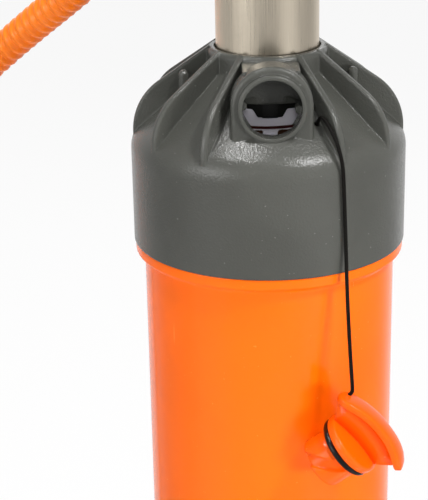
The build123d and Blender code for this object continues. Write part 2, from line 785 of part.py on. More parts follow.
def make_cover_screws():
    """Four screws through the hub's lid."""
    z_head = z_hub + hub_height - cover_sunk + cover_gasket + cover_head_seat
    screw = pan_screw(z_head, cover_screw_length, cover_screw_r, cover_head_r, -1)
    return circle_of(screw, cover_screw_pitch_r, 4, 45)


def make_manifold():
    """Plug in the shaft's top that holds the air tube and passes the outer air."""
    z_low = z_shaft_top - manifold_height
    r = shaft_bore_r - slip
    plug = lathe(
        [
            (air_tube_r + slip, z_low), (r, z_low), (r, z_shaft_top), (air_tube_r - air_tube_wall, z_shaft_top),
            (air_tube_r - air_tube_wall, z_shaft_top - air_tube_drop), (air_tube_r + slip, z_shaft_top - air_tube_drop),
        ],
        [0, 0.8, 0, 0, 0, 0],
    )
    return plug - circle_of(disc(1.6, z_low - 1, z_shaft_top + 1), (r + air_tube_r) / 2, 8)


def make_ring_flap():
    """Rubber ring flap over the manifold's holes."""
    inner = air_tube_r - air_tube_wall - slip
    return lathe(
        [
            (inner - 1.5, z_shaft_top - 2), (inner, z_shaft_top - 2), (inner, z_shaft_top),
            (chamber_r - chamber_ledge - 0.2, z_shaft_top), (chamber_r - chamber_ledge - 0.2, z_shaft_top + 1),
            (inner - 1.5, z_shaft_top + 1),
        ]
    )


def make_grip(side):
    """Soft sleeve with shallow finger rings."""
    start, end = grip_start + slip, bar_length / 2 - end_cap_length
    step = (end - start) / grip_rings
    points = [(bar_core_r + slip, start), (grip_r - grip_ring_depth, start)]
    for i in range(grip_rings):
        points += [(grip_r, start + step * (i + 0.25)), (grip_r, start + step * (i + 0.75))]
        points += [(grip_r - grip_ring_depth, start + step * (i + 1))]
    points.append((bar_core_r + slip, end))
    return Pos(0, 0, z_bar) * Rot(0, side * 90, 0) * lathe(points)


def make_end_cap(side):
    """Cap pressed into the open end of the bar."""
    end = bar_length / 2 - end_cap_length
    cap = lathe(
        [(0, end - end_plug_length), (bar_bore_r - slip, end - end_plug_length), (bar_bore_r - slip, end),
         (grip_r + 0.5, end), (grip_r + 0.5, end + end_cap_length), (0, end + end_cap_length)],
        [0, 1, 0, 0.6, 3, 0],
    )
    return Pos(0, 0, z_bar) * Rot(0, side * 90, 0) * cap


# ---- Outlet and hose fittings ----
elbow_bend = Vector(0, elbow_reach, z_outlet)
hose_dir = Vector(*hose_along).normalized()
leg_end = elbow_bend + hose_dir * (elbow_r + elbow_leg)
hose_start = leg_end + hose_dir * cuff_length


def along(start, direction, shape):
    """Turn a shape made about +Z so that its axis runs along a direction from a point."""
    return Plane(origin=start, z_dir=direction).location * shape


def make_elbow():
    """Outlet elbow: spigot in the hub's boss, round bend and hose leg."""
    boss_end = elbow_reach - elbow_r + 1
    elbow = Pos(*elbow_bend) * Sphere(elbow_r)
    elbow = elbow - Pos(0, boss_end - elbow_r, z_outlet) * Box(40, 2 * elbow_r, 40)
    elbow += bar((0, boss_end - 14, z_outlet), (0, 1, 0), outlet_bore_r, 18)
    leg_r = nut_r - 4
    elbow += bar(elbow_bend, hose_dir, leg_r, elbow_r + elbow_leg)
    groove = tube(outlet_bore_r + 1, outlet_bore_r - elbow_groove, -1.2, 1.2)
    elbow -= along((0, boss_end - 5, z_outlet), (0, 1, 0), groove)
    elbow -= bar((0, boss_end - 15, z_outlet), (0, 1, 0), air_way_r, 27)
    return elbow - bar(elbow_bend, hose_dir, air_way_r, elbow_r + elbow_leg + 1)


def make_elbow_ring():
    """Rubber ring in the groove of the elbow's spigot."""
    section = elbow_groove / 2
    place = (0, elbow_reach - elbow_r - 4, z_outlet)
    return along(place, Vector(0, 1, 0), Torus(outlet_bore_r - section, section - 0.02))


def make_hose_nut():
    """Lobed coupling nut that turns on the elbow's leg."""
    bore = nut_r - 4 + running
    ring = tube(nut_r, bore, 0, nut_length)
    groove = disc(1.6, -1, nut_length + 1)
    ring -= circle_of(groove, nut_r + 0.5, nut_lobes)
    return along(elbow_bend + hose_dir * (elbow_r + 1.0), hose_dir, ring)


def make_hose_cuff():
    """Tapered cuff between the elbow's leg and the hose."""
    cuff = lathe(
        [
            (air_way_r, 0), (hose_d / 2 + 3.2, 0), (hose_d / 2 + 3.2, 5), (hose_d / 2 + 0.8, cuff_length),
            (air_way_r, cuff_length),
        ],
        [0, 0.8, 2, 0, 0],
    )
    return along(leg_end, hose_dir, cuff)


hose_join = Vector(-60.0, 100.6, 31.6)
hose_landing = Vector(-20.0, 100.0, 10.5)
hose_points = [
    tuple(hose_start),
    tuple(hose_start + hose_dir * 48),
    (-113, 118, 476),
    (-147, 128, 445),
    (-172, 138, 380),
    (-180, 140, 300),
    (-180, 130, 215),
    (-166, 114, 130),
    tuple(hose_join - (hose_landing - hose_join).normalized() * 62),
    tuple(hose_join),
]


def half_ring(section, shift, start):
    """Half of a ring on the floor, its centre shifted along Y from the coil's centre."""
    x, y = coil_centre
    return Pos(x, y + shift, 0) * Rot(0, 0, start) * revolve(section, Axis.Z, revolution_arc=180)


def make_hose_coil():
    """Coil of one and a half turns, with the run that lands on it and its free end."""
    d = hose_d
    one = Plane.XZ * Pos(coil_turn_r, d / 2) * Circle(d / 2)
    two = Plane.XZ * Pos(coil_turn_r, d / 2) * RectangleRounded(2 * d, d, d / 2 - 0.1)
    coil = half_ring(two, d / 4, -90) + half_ring(one, -d / 4, 90)
    inner_y = coil_centre[1] + d / 4 - (coil_turn_r - d / 2)
    landing = [tuple(hose_join), tuple(hose_landing), (coil_centre[0] + 10, inner_y + 0.6, d / 2)]
    coil += cord("hose_coil_landing", landing, d)
    return coil + bar(end_foot - end_dir, end_dir, d / 2 - 0.2, end_stub + 1)


tilt = math.radians(end_fitting_tilt)
end_dir = Vector(-math.cos(tilt), 0, math.sin(tilt))
end_foot = Vector(coil_centre[0], coil_centre[1] + coil_turn_r + hose_d * 3 / 4, hose_d / 2)
end_start = end_foot + end_dir * end_stub


def make_end_cuff():
    """Tapered cuff on the free end of the hose."""
    cuff = lathe(
        [
            (air_way_r, 0), (hose_d / 2 + 0.8, 0), (hose_d / 2 + 2.6, end_cuff_length - 6),
            (hose_d / 2 + 2.6, end_cuff_length), (air_way_r, end_cuff_length),
        ],
        [0, 0, 2, 0.8, 0],
    )
    return along(end_start, end_dir, cuff)


def make_end_fitting():
    """Valve fitting with a stop flange and a tapered nozzle."""
    flange = 12.0
    body = lathe(
        [
            (end_bore_r, 0), (10, 0), (10, flange), (end_flange_r, flange), (end_flange_r, flange + 4),
            (9.5, flange + 4), (8.5, end_body_length), (end_bore_r, end_body_length),
        ],
        [0, 0.8, 1.5, 1, 1, 0, 0.8, 0],
    )
    return along(end_start + end_dir * end_cuff_length, end_dir, body)


def make_end_gasket():
    """Soft ring on the nozzle, against the flange."""
    place = end_start + end_dir * (end_cuff_length + 16.0)
    return along(place, end_dir, tube(end_flange_r - 2.5, 9.5 + slip, slip, 2.2))


# ---- Plug and lanyard ----
plug_place = Plane(
    origin=(plug_centre[0], plug_centre[1], z_rim + plug_centre[2]), x_dir=plug_grip_along, z_dir=plug_axis
)


def make_plug_grip(z_foot):
    """Arched grip of the plug: a thin web under a rim with rounded ends."""
    arc_r = grip_crown_r - grip_rim_thick / 2
    half = math.degrees(math.asin((grip_half - 1.8) / arc_r))
    crown = CenterArc((0, grip_rise - grip_crown_r), arc_r, 90 - half, 2 * half)
    rim = extrude(Plane.XZ * SlotArc(crown, grip_rim_thick), grip_rim_width / 2, both=True)
    plan = RectangleRounded(2 * grip_half, grip_rim_width, grip_rim_width / 2 - 0.2)
    rim &= extrude(plan, grip_rise + 5)
    (x, end_z) = (crown @ 0).X, (crown @ 0).Y
    side = Polyline((-x, end_z), (-x, z_foot + grip_flare), (-grip_foot_half, z_foot), (grip_foot_half, z_foot),
                    (x, z_foot + grip_flare), (x, end_z))
    web = make_face(side + ThreePointArc((x, end_z), crown @ 0.5, (-x, end_z)))
    return rim + extrude(Plane.XZ * web, grip_web_thick / 2, both=True)


def make_plug():
    """Mode plug: cam spigot with helical slots, flange and an arched grip."""
    z_flange = ring_section_r
    seat_r = plug_ring_r - ring_section_r + 0.1
    plug = lathe(
        [
            (0, -spigot_length), (spigot_r - 0.6, -spigot_length), (spigot_r, -3.2), (seat_r, -2.6),
            (seat_r, z_flange), (plug_flange_r, z_flange), (plug_flange_r, z_flange + plug_flange_thick),
            (0, z_flange + plug_flange_thick + 1.2),
        ],
        [0, 1.0, 0, 0, 0, 0.6, 1.0, 0],
    )
    plug += make_plug_grip(z_flange + plug_flange_thick - 0.5)
    slot = Rot(-45, 0, 0) * Box(2 * cam_slot_depth, cam_slot_width, spigot_length + 1.5)
    for i in range(cam_count):
        turn = cam_start + 360 * i / cam_count
        plug -= Rot(0, 0, turn) * Pos(spigot_r, 0, -spigot_length / 2 - 1.5) * slot
    plug -= Pos(*lanyard_in_plug) * Cylinder(lanyard_d / 2 + 0.2, 8)
    plug -= knot_in_plug(plug_knot_r + slip)
    return plug_place.location * plug


def plug_ring():
    """Rubber ring behind the plug's flange."""
    return plug_place.location * Torus(plug_ring_r + 0.15, ring_section_r - 0.05)


def lanyard_points():
    """Route of the lanyard: the part on the cap, then the part that hangs from a ball under it."""
    start, out = lanyard_hole()
    surface = start + out * (2 * dome_wall)
    lift = lanyard_d / 2 + lanyard_gap
    hang = polar(cap_r + lift, lanyard_hang_turn, z_rim + lanyard_hang_height)
    shoulder = polar(cap_r + lift, lanyard_over_turn, cone_z(cap_r) + 1.5)
    top = [surface - out * 4.5, surface + out * 1.9, shoulder, hang]
    x, y, z = lanyard_in_plug
    mouth = plug_place.from_local_coords(Vector(x, y, z + 2.0))
    end = plug_place.from_local_coords(Vector(x, y, z - grip_rim_thick - 1.4))
    below = hang - Vector(0, 0, slip)
    return top, [below, below - Vector(0, 0, 25), mouth, end]


def make_lanyard_drop(points):
    """Hanging part of the lanyard, with its upper end rounded about the swing's axis."""
    drop = cord("lanyard_drop", [tuple(p) for p in points], lanyard_d)
    return fillet(drop.edges().sort_by(Axis.Z)[-1], lanyard_d / 2 - slip)


def knot_in_plug(r):
    """Ball under the grip's rim, in the plug's own frame."""
    x, y, z = lanyard_in_plug
    return Pos(x, y, z - grip_rim_thick - plug_knot_r) * Sphere(r)


def make_plug_knot():
    """Knot of the lanyard under the grip's rim."""
    return plug_place.location * knot_in_plug(plug_knot_r)


def build():
    """Make and write every node."""
    save("barrel", make_barrel())
    save("intake_flap", flap_valve(z_floor, intake_hole_pitch_r + intake_hole_r + 3, barrel_floor))
    save("bottom_bumper", make_bumper())
    save("foot_plate", make_foot_plate())
    save("foot_pads", make_foot_pads())
    save("foot_screws", make_foot_screws())
    save("cap", make_cap())
    save("top_guide", make_top_guide())
    save("guide_ring", make_guide_ring())
    save("guide_sleeve", make_guide_sleeve())
    save("shaft_seal", make_shaft_seal())
    save("shaft_wiper", make_wiper())
    save("cap_gasket", make_cap_gasket())

    save("shaft", make_shaft())
    save("shaft_pins", make_shaft_pins())
    save("air_tube", make_air_tube())
    save("piston_base", make_piston_base())
    save("piston_cover", make_piston_cover())
    seal, wear = make_piston_rings()
    save("piston_seal", seal)
    save("piston_wear_ring", wear)
    save("piston_screws", make_piston_screws())
    save("delivery_flap", flap_valve(z_piston + 7, 7.5, 3))

    save("handle", make_handle())
    save("hub_cover", make_hub_cover())
    save("cover_gasket", make_cover_gasket())
    save("cover_screws", make_cover_screws())
    save("manifold", make_manifold())
    save("ring_flap", make_ring_flap())
    save("grip_left", make_grip(-1))
    save("grip_right", make_grip(1))
    save("end_cap_left", make_end_cap(-1))
    save("end_cap_right", make_end_cap(1))

    save("outlet_elbow", make_elbow())
    save("elbow_ring", make_elbow_ring())
    save("hose_nut", make_hose_nut())
    save("hose_cuff", make_hose_cuff())
    save("hose", cord("hose", hose_points, hose_d))
    save("hose_coil", make_hose_coil())
    save("hose_end_cuff", make_end_cuff())
    save("valve_fitting", make_end_fitting())
    save("fitting_gasket", make_end_gasket())

    save("plug", make_plug())
    save("plug_ring", plug_ring())
    on_cap, hanging = lanyard_points()
    save("lanyard_top", cord("lanyard_top", [tuple(p) for p in on_cap], lanyard_d))
    save("lanyard_drop", make_lanyard_drop(hanging))
    save("plug_knot", make_plug_knot())
    start, out = lanyard_hole()
    save("cap_knot", Pos(*(start + out * 1.2)) * Sphere(knot_r))


build()
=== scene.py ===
import json
import logging
import math
from dataclasses import dataclass, field
from enum import Enum
from typing import Callable, Sequence

import bmesh
import bpy
from mathutils import Matrix, Vector


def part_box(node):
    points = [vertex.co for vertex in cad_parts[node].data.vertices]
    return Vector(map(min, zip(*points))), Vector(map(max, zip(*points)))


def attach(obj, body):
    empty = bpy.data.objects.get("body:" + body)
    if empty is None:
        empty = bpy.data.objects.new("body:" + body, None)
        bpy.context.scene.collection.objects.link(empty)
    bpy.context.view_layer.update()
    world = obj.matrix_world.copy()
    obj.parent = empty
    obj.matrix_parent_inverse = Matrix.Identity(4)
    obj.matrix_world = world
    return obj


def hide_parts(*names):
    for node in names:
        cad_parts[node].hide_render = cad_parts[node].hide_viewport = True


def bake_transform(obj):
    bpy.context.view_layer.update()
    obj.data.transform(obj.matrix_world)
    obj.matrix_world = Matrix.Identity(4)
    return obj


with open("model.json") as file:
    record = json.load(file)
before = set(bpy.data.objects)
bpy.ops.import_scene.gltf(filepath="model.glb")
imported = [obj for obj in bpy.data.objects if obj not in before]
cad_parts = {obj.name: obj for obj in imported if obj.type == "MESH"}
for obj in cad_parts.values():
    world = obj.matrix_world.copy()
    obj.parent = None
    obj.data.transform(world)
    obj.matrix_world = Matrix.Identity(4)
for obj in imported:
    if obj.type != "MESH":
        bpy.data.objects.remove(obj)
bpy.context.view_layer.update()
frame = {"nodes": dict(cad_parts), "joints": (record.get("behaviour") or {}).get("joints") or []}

LOG = logging.getLogger("hand_pump")
MM = 0.001
WHITE_LIGHT = (1, 1, 1, 1)
Colour = tuple[float, float, float]
Place = tuple[float, float, float]


# ---- shader graph
class Wire:
    """A socket in a material's node tree, on which arithmetic adds Math nodes."""

    def __init__(self, graph: "Graph", socket: bpy.types.NodeSocket) -> None:
        """Wraps an output socket of a node in the graph."""
        self.graph = graph
        self.socket = socket

    def _math(self, operation: str, *others: "Wire | float") -> "Wire":
        """Adds one Math node.

        Args:
            operation: The Math node's operation.
            others: The operands after this one.

        Returns:
            The node's result.
        """
        return self.graph.node("ShaderNodeMath", {"operation": operation}, dict(enumerate((self, *others))))

    def __add__(self, other: "Wire | float") -> "Wire":
        """Sum."""
        return self._math("ADD", other)

    def __sub__(self, other: "Wire | float") -> "Wire":
        """Difference."""
        return self._math("SUBTRACT", other)

    def __rsub__(self, other: float) -> "Wire":
        """Difference with a number first."""
        return self.graph.node("ShaderNodeMath", {"operation": "SUBTRACT"}, {0: other, 1: self})

    def __mul__(self, other: "Wire | float") -> "Wire":
        """Product."""
        return self._math("MULTIPLY", other)

    def most(self, other: "Wire | float") -> "Wire":
        """The larger of two values."""
        return self._math("MAXIMUM", other)

    def wave(self) -> "Wire":
        """Sine of the value."""
        return self._math("SINE")

    def ramp(self, low: float, high: float, bottom: float = 0.0, top: float = 1.0) -> "Wire":
        """Maps a range smoothly and clamps it.

        Args:
            low: Value that gives bottom.
            high: Value that gives top.
            bottom: First result.
            top: Last result.

        Returns:
            The mapped value.
        """
        settings = {"interpolation_type": "SMOOTHSTEP", "clamp": True}
        inputs = {"Value": self, "From Min": low, "From Max": high, "To Min": bottom, "To Max": top}
        return self.graph.node("ShaderNodeMapRange", settings, inputs)


class Graph:
    """Node tree of one material or world, with one method that makes any node."""

    def __init__(self, tree: bpy.types.NodeTree) -> None:
        """Empties a node tree and takes it over."""
        tree.nodes.clear()
        self.tree = tree

    def node(self, kind: str, settings: dict | None = None, inputs: dict | None = None,
             out: int | str = 0) -> Wire:
        """Adds a node.

        Args:
            kind: The node's type.
            settings: Its properties, set first.
            inputs: Values or wires by socket name or number.
            out: The output to return.

        Returns:
            The chosen output.
        """
        made = self.tree.nodes.new(kind)
        for name, value in (settings or {}).items():
            setattr(made, name, value)
        for name, value in (inputs or {}).items():
            if isinstance(value, Wire):
                self.tree.links.new(value.socket, made.inputs[name])
            else:
                made.inputs[name].default_value = value
        return Wire(self, made.outputs[out]) if made.outputs else Wire(self, None)

    def place(self, scale: Sequence[float] = (1, 1, 1), turn: Sequence[float] = (0, 0, 0),
              move: Sequence[float] = (0, 0, 0)) -> Wire:
        """Object coordinates after a move, a turn and a stretch.

        Args:
            scale: Stretch along each axis.
            turn: Turn about each axis, in radians.
            move: Move along each axis.

        Returns:
            The mapped coordinates.
        """
        here = self.node("ShaderNodeTexCoord", out="Object")
        inputs = {"Vector": here, "Location": move, "Rotation": turn, "Scale": scale}
        return self.node("ShaderNodeMapping", {}, inputs)

    def axis(self, vector: Wire, name: str) -> Wire:
        """One component of a vector, by its letter."""
        return self.node("ShaderNodeSeparateXYZ", {}, {0: vector}, name)

    def speckle(self, vector: Wire, scale: float, detail: float = 2.0, rough: float = 0.5) -> Wire:
        """Noise between 0 and 1.

        Args:
            vector: Coordinates.
            scale: Features per metre.
            detail: Octaves.
            rough: Weight of the finer octaves.

        Returns:
            The noise value.
        """
        inputs = {"Vector": vector, "Scale": scale, "Detail": detail, "Roughness": rough}
        return self.node("ShaderNodeTexNoise", {}, inputs)

    def blend(self, factor: Wire | float, first: "Wire | Colour", second: "Wire | Colour") -> Wire:
        """Mix of two colours; the Mix node tells its colour sockets from the others by number only."""
        first_socket, second_socket, result_socket = 6, 7, 2
        inputs = {"Factor": factor, first_socket: self._full(first), second_socket: self._full(second)}
        return self.node("ShaderNodeMix", {"data_type": "RGBA"}, inputs, result_socket)

    def bump(self, height: Wire, depth: float, under: Wire | None = None) -> Wire:
        """Normal from a height.

        Args:
            height: Height between 0 and 1.
            depth: What a height of 1 stands for, in metres.
            under: A normal to build on.

        Returns:
            The bent normal.
        """
        inputs = {"Height": height, "Distance": depth, "Strength": 1.0}
        if under is not None:
            inputs["Normal"] = under
        return self.node("ShaderNodeBump", {}, inputs)

    def rounded(self, radius: float) -> Wire:
        """Normal that rounds sharp edges and corners.

        Args:
            radius: Radius of the rounding, in metres.

        Returns:
            The normal.
        """
        return self.node("ShaderNodeBevel", {"samples": 6}, {"Radius": radius})

    @staticmethod
    def _full(colour: "Wire | Colour") -> "Wire | tuple[float, ...]":
        """A colour with its alpha, or a wire as it is."""
        return colour if isinstance(colour, Wire) else (*colour, 1.0)


# ---- finishes
@dataclass(frozen=True)
class Finish:
    """A material with its name; each kind of finish dresses it in its own way."""

    name: str
    colour: Colour

    def material(self) -> bpy.types.Material:
        """Makes the material, or returns the one already made.

        Returns:
            The material of this finish.
        """
        found = bpy.data.materials.get(self.name)
        if found:
            return found
        made = bpy.data.materials.new(self.name)
        made.use_nodes = True
        made.diffuse_color = (*self.colour, 1.0)
        graph = Graph(made.node_tree)
        sockets = {"Base Color": (*self.colour, 1.0), **self.constants()}
        shader = graph.node("ShaderNodeBsdfPrincipled", {}, sockets)
        for socket, wire in self.varied(graph).items():
            graph.tree.links.new(wire.socket, shader.socket.node.inputs[socket])
        graph.node("ShaderNodeOutputMaterial", {}, {"Surface": shader})
        return made

    def constants(self) -> dict[str, float]:
        """Sockets that are the same all over the surface."""
        return {"Roughness": 0.5}

    def varied(self, graph: Graph) -> dict[str, Wire]:
        """Sockets that change over the surface, by name."""
        return {}

    def shades(self, spread: float) -> tuple[Colour, Colour]:
        """A darker and a lighter shade of the colour, a share of it to each side."""
        darker = tuple(c * (1 - spread) for c in self.colour)
        lighter = tuple(min(1.0, c * (1 + spread)) for c in self.colour)
        return darker, lighter


@dataclass(frozen=True)
class MouldedPlastic(Finish):
    """Injection-moulded plastic with a fine grain, clouding, scuffs and specks."""

    roughness: float = 0.45
    grain: float = 1800.0
    grain_depth: float = 0.00005
    clouding: float = 0.05
    scuffs: float = 0.0
    scuff_colour: Colour = (0.35, 0.35, 0.34)
    specular: float = 0.5
    soft_edge: float = 0.0

    def constants(self) -> dict[str, float]:
        """Gloss of the moulding's skin."""
        return {"IOR": 1.46, "Specular IOR Level": self.specular}

    def varied(self, graph: Graph) -> dict[str, Wire]:
        """Clouds and scuffs in the colour and the roughness, grain and softened edges in the normal."""
        here = graph.place()
        cloud = graph.speckle(here, scale=28.0, detail=3.0)
        fine = graph.speckle(here, scale=self.grain, rough=0.6)
        colour = graph.blend(cloud.ramp(0.35, 0.65), *self.shades(self.clouding))
        rough = cloud.ramp(0.3, 0.7, bottom=self.roughness * 0.92, top=self.roughness * 1.08)
        if self.scuffs > 0:
            mask = self.scratches(graph) * self.scuffs
            colour = graph.blend(mask, colour, self.scuff_colour)
            rough = rough + mask * 0.15
        edge = graph.rounded(self.soft_edge) if self.soft_edge > 0 else None
        normal = graph.bump(fine, self.grain_depth, under=edge)
        return {"Base Color": colour, "Roughness": rough, "Normal": normal}

    def scratches(self, graph: Graph) -> Wire:
        """Fine broken lines in two directions and a few specks, between 0 and 1."""
        upright = graph.place(scale=(1.0, 1.0, 0.045), turn=(0.05, 0.12, 0.3))
        slanted = graph.place(scale=(1.0, 0.07, 1.0), turn=(0.7, 0.5, 0.9))
        worn, dotted = graph.place(move=(0.3, 0.1, 0.2)), graph.place(move=(0.7, 0.2, 0.5))
        lines = graph.speckle(upright, scale=620.0, detail=1.0).ramp(0.745, 0.80)
        cross = graph.speckle(slanted, scale=520.0, detail=1.0).ramp(0.765, 0.81)
        patches = graph.speckle(worn, scale=34.0).ramp(0.54, 0.66)
        specks = graph.speckle(dotted, scale=900.0, detail=0.0).ramp(0.84, 0.88)
        return (lines.most(cross) * patches).most(specks * 0.8)


@dataclass(frozen=True)
class BrushedTube(Finish):
    """Drawn metal with lines along Z and small nicks."""

    roughness: float = 0.3
    line_depth: float = 0.00002

    def constants(self) -> dict[str, float]:
        """Metal that stretches its highlights across the lines."""
        return {"Metallic": 1.0, "Anisotropic": 0.55}

    def varied(self, graph: Graph) -> dict[str, Wire]:
        """Drawn lines in the colour, the roughness and the normal, and nicks in the last two."""
        drawn = graph.place(scale=(1.0, 1.0, 0.012))
        nicked = graph.place(scale=(1.0, 1.0, 0.35), turn=(0.3, 0.4, 0.2))
        lines = graph.speckle(drawn, scale=2600.0, detail=3.0, rough=0.7)
        nicks = graph.speckle(nicked, scale=420.0, detail=1.0).ramp(0.75, 0.8)
        colour = graph.blend(lines.ramp(0.3, 0.7), *self.shades(0.05))
        rough = lines.ramp(0.3, 0.7, bottom=self.roughness * 0.8, top=self.roughness * 1.25) + nicks * 0.2
        normal = graph.bump(lines + nicks * 0.6, self.line_depth)
        return {"Base Color": colour, "Roughness": rough, "Normal": normal}


@dataclass(frozen=True)
class SoftRubber(Finish):
    """Rubber with a faint bloom and a fine grain."""

    roughness: float = 0.55
    bloom: Colour = (0.06, 0.06, 0.06)
    gloss: float = 0.5
    dulled: float = 0.12
    grain_depth: float = 0.00005

    def constants(self) -> dict[str, float]:
        """Share of gloss of the skin."""
        return {"IOR": 1.5, "Specular IOR Level": self.gloss}

    def varied(self, graph: Graph) -> dict[str, Wire]:
        """Bloom in patches, which makes the skin duller, and grain."""
        here = graph.place()
        patch = graph.speckle(here, scale=60.0, detail=3.0).ramp(0.45, 0.7)
        grain = graph.speckle(here, scale=2600.0, detail=1.0)
        rough = patch.ramp(0.0, 1.0, bottom=self.roughness, top=self.roughness + self.dulled)
        colour = graph.blend(patch * 0.5, self.colour, self.bloom)
        return {"Base Color": colour, "Roughness": rough, "Normal": graph.bump(grain, self.grain_depth)}


@dataclass(frozen=True)
class GreasedNylon(Finish):
    """Pale nylon with brown grease, which gathers low down and away from the plane through the axis."""

    grease: Colour = (0.045, 0.02, 0.01)
    levels: tuple[float, float] = (0.0, 0.0)
    squared_distances: tuple[float, float] = (0.000003, 0.000014)
    lump_depth: float = 0.0003

    def constants(self) -> dict[str, float]:
        """Smooth skin."""
        return {"IOR": 1.53, "Coat Weight": 0.3, "Coat Roughness": 0.2}

    def varied(self, graph: Graph) -> dict[str, Wire]:
        """Grease between two levels and two distances from the plane x = 0, in lumps."""
        here = graph.place()
        height = graph.axis(here, "Z")
        lumps = graph.speckle(here, scale=900.0, detail=3.0, rough=0.7)
        side = graph.axis(here, "X")
        low = (1 - height.ramp(*self.levels)) * (side * side).ramp(*self.squared_distances)
        mask = (low * 0.9 + lumps - 0.55).ramp(0.25, 0.4)
        return {
            "Base Color": graph.blend(mask, self.colour, self.grease),
            "Roughness": mask.ramp(0.0, 1.0, bottom=0.35, top=0.2),
            "Normal": graph.bump(lumps * mask, self.lump_depth),
        }


@dataclass(frozen=True)
class Braid(Finish):
    """Fine braided cord: crossing strands along the piece's own UV map, with a painted highlight on their
    crests.
    """

    strands: float = 8.0
    pitch: float = 1.0
    # painted highlight: how many times lighter the crests' colour is than the cord's
    crest_highlight: float = 2.2
    strand_depth: float = 0.00012

    def constants(self) -> dict[str, float]:
        """Waxed thread."""
        return {"IOR": 1.45, "Specular IOR Level": 0.12}

    def varied(self, graph: Graph) -> dict[str, Wire]:
        """Two families of strands that cross, as height, and as colour that is lighter on their crests: a
        painted highlight.
        """
        spot = graph.node("ShaderNodeUVMap", {"uv_map": "along"})
        across, along = graph.axis(spot, "X"), graph.axis(spot, "Y")
        right = ((across * self.strands + along * self.pitch) * math.tau).wave()
        left = ((across * self.strands - along * self.pitch) * math.tau).wave()
        height = right.most(left).ramp(-0.2, 1.0)
        # painted highlight: the strands' crests take a lighter copy of the cord's colour
        lighter = tuple(c * self.crest_highlight for c in self.colour)
        return {
            "Base Color": graph.blend(height, self.colour, lighter),
            "Roughness": height.ramp(0.0, 1.0, bottom=0.75, top=0.5),
            "Normal": graph.bump(height, self.strand_depth),
        }


class Finishes(Enum):
    """Every finish of the pump."""

    BARREL = MouldedPlastic("barrel_orange", (0.97, 0.143, 0.0015), roughness=0.18, grain=900.0,
                            grain_depth=0.00001, clouding=0.02, scuffs=0.35, scuff_colour=(1.0, 0.36, 0.09),
                            specular=0.3)
    ORANGE = MouldedPlastic("moulded_orange", (0.95, 0.13, 0.002), roughness=0.24, grain=1200.0,
                            grain_depth=0.00002, clouding=0.03, soft_edge=0.0006)
    HOSE = MouldedPlastic("hose_orange", (1.0, 0.21, 0.006), roughness=0.3, grain=900.0, grain_depth=0.00003,
                          clouding=0.06)
    PLUG = MouldedPlastic("plug_orange", (0.95, 0.107, 0.001), roughness=0.2, grain=1200.0,
                          grain_depth=0.00001, clouding=0.03, scuffs=0.3, scuff_colour=(1.0, 0.4, 0.15),
                          soft_edge=0.0006, specular=0.3)
    CAP = MouldedPlastic("cap_grey", (0.066, 0.067, 0.059), roughness=0.24, grain=1100.0, grain_depth=0.00018,
                         clouding=0.06, scuffs=0.3, scuff_colour=(0.3, 0.3, 0.28), soft_edge=0.0011)
    SLEEVE = MouldedPlastic("sleeve_grey", (0.011, 0.011, 0.01), roughness=0.4, grain=1500.0,
                            grain_depth=0.00003, soft_edge=0.0004)
    BLACK = MouldedPlastic("black_moulding", (0.022, 0.022, 0.024), roughness=0.46, grain=1500.0,
                           grain_depth=0.00008, clouding=0.1, scuffs=0.25, scuff_colour=(0.12, 0.12, 0.12))
    SOFT = SoftRubber("soft_grip", (0.02, 0.02, 0.021), roughness=0.62)
    RUBBER = SoftRubber("black_rubber", (0.012, 0.012, 0.012), roughness=0.5)
    SEAL = SoftRubber("oiled_seal", (0.002, 0.002, 0.002), roughness=0.16, bloom=(0.003, 0.003, 0.003),
                      gloss=0.35)
    OILED_RED = SoftRubber("oiled_red", (0.045, 0.004, 0.003), roughness=0.3, bloom=(0.06, 0.006, 0.005))
    RED = SoftRubber("red_rubber", (0.16, 0.008, 0.006), roughness=0.45, bloom=(0.2, 0.02, 0.02))
    WHITE = GreasedNylon("white_nylon", (0.88, 0.85, 0.92), levels=(0.4704, 0.4722))
    PALE = MouldedPlastic("pale_nylon", (0.66, 0.65, 0.64), roughness=0.4, grain=1500.0, grain_depth=0.00002)
    ROD = BrushedTube("drawn_tube", (0.78, 0.69, 0.555), roughness=0.33)
    STEEL = BrushedTube("plain_steel", (0.55, 0.55, 0.56), roughness=0.3)
    BRAID = Braid("black_braid", (0.004, 0.0035, 0.003))


# ---- shared making
def mesh_object(name: str, shape: bmesh.types.BMesh, material: bpy.types.Material,
                smooth: bool = True) -> bpy.types.Object:
    """Turns a bmesh into a linked object at the origin.

    Args:
        name: Name of the object.
        shape: The bmesh, which is freed.
        material: Its material.
        smooth: Whether faces shade smoothly.

    Returns:
        The new object.
    """
    mesh = bpy.data.meshes.new(name)
    for face in shape.faces:
        face.smooth = smooth
    shape.to_mesh(mesh)
    shape.free()
    mesh.materials.append(material)
    made = bpy.data.objects.new(name, mesh)
    bpy.context.scene.collection.objects.link(made)
    return made


def dress(finish: Finish, *nodes: str) -> None:
    """Gives carried-over nodes a finish.

    Args:
        finish: The finish.
        nodes: Names of the nodes.
    """
    for name in nodes:
        node = frame["nodes"][name]
        for slot in node.material_slots:
            slot.material = finish.material()
        LOG.info("%s dressed in %s", name, finish.name)


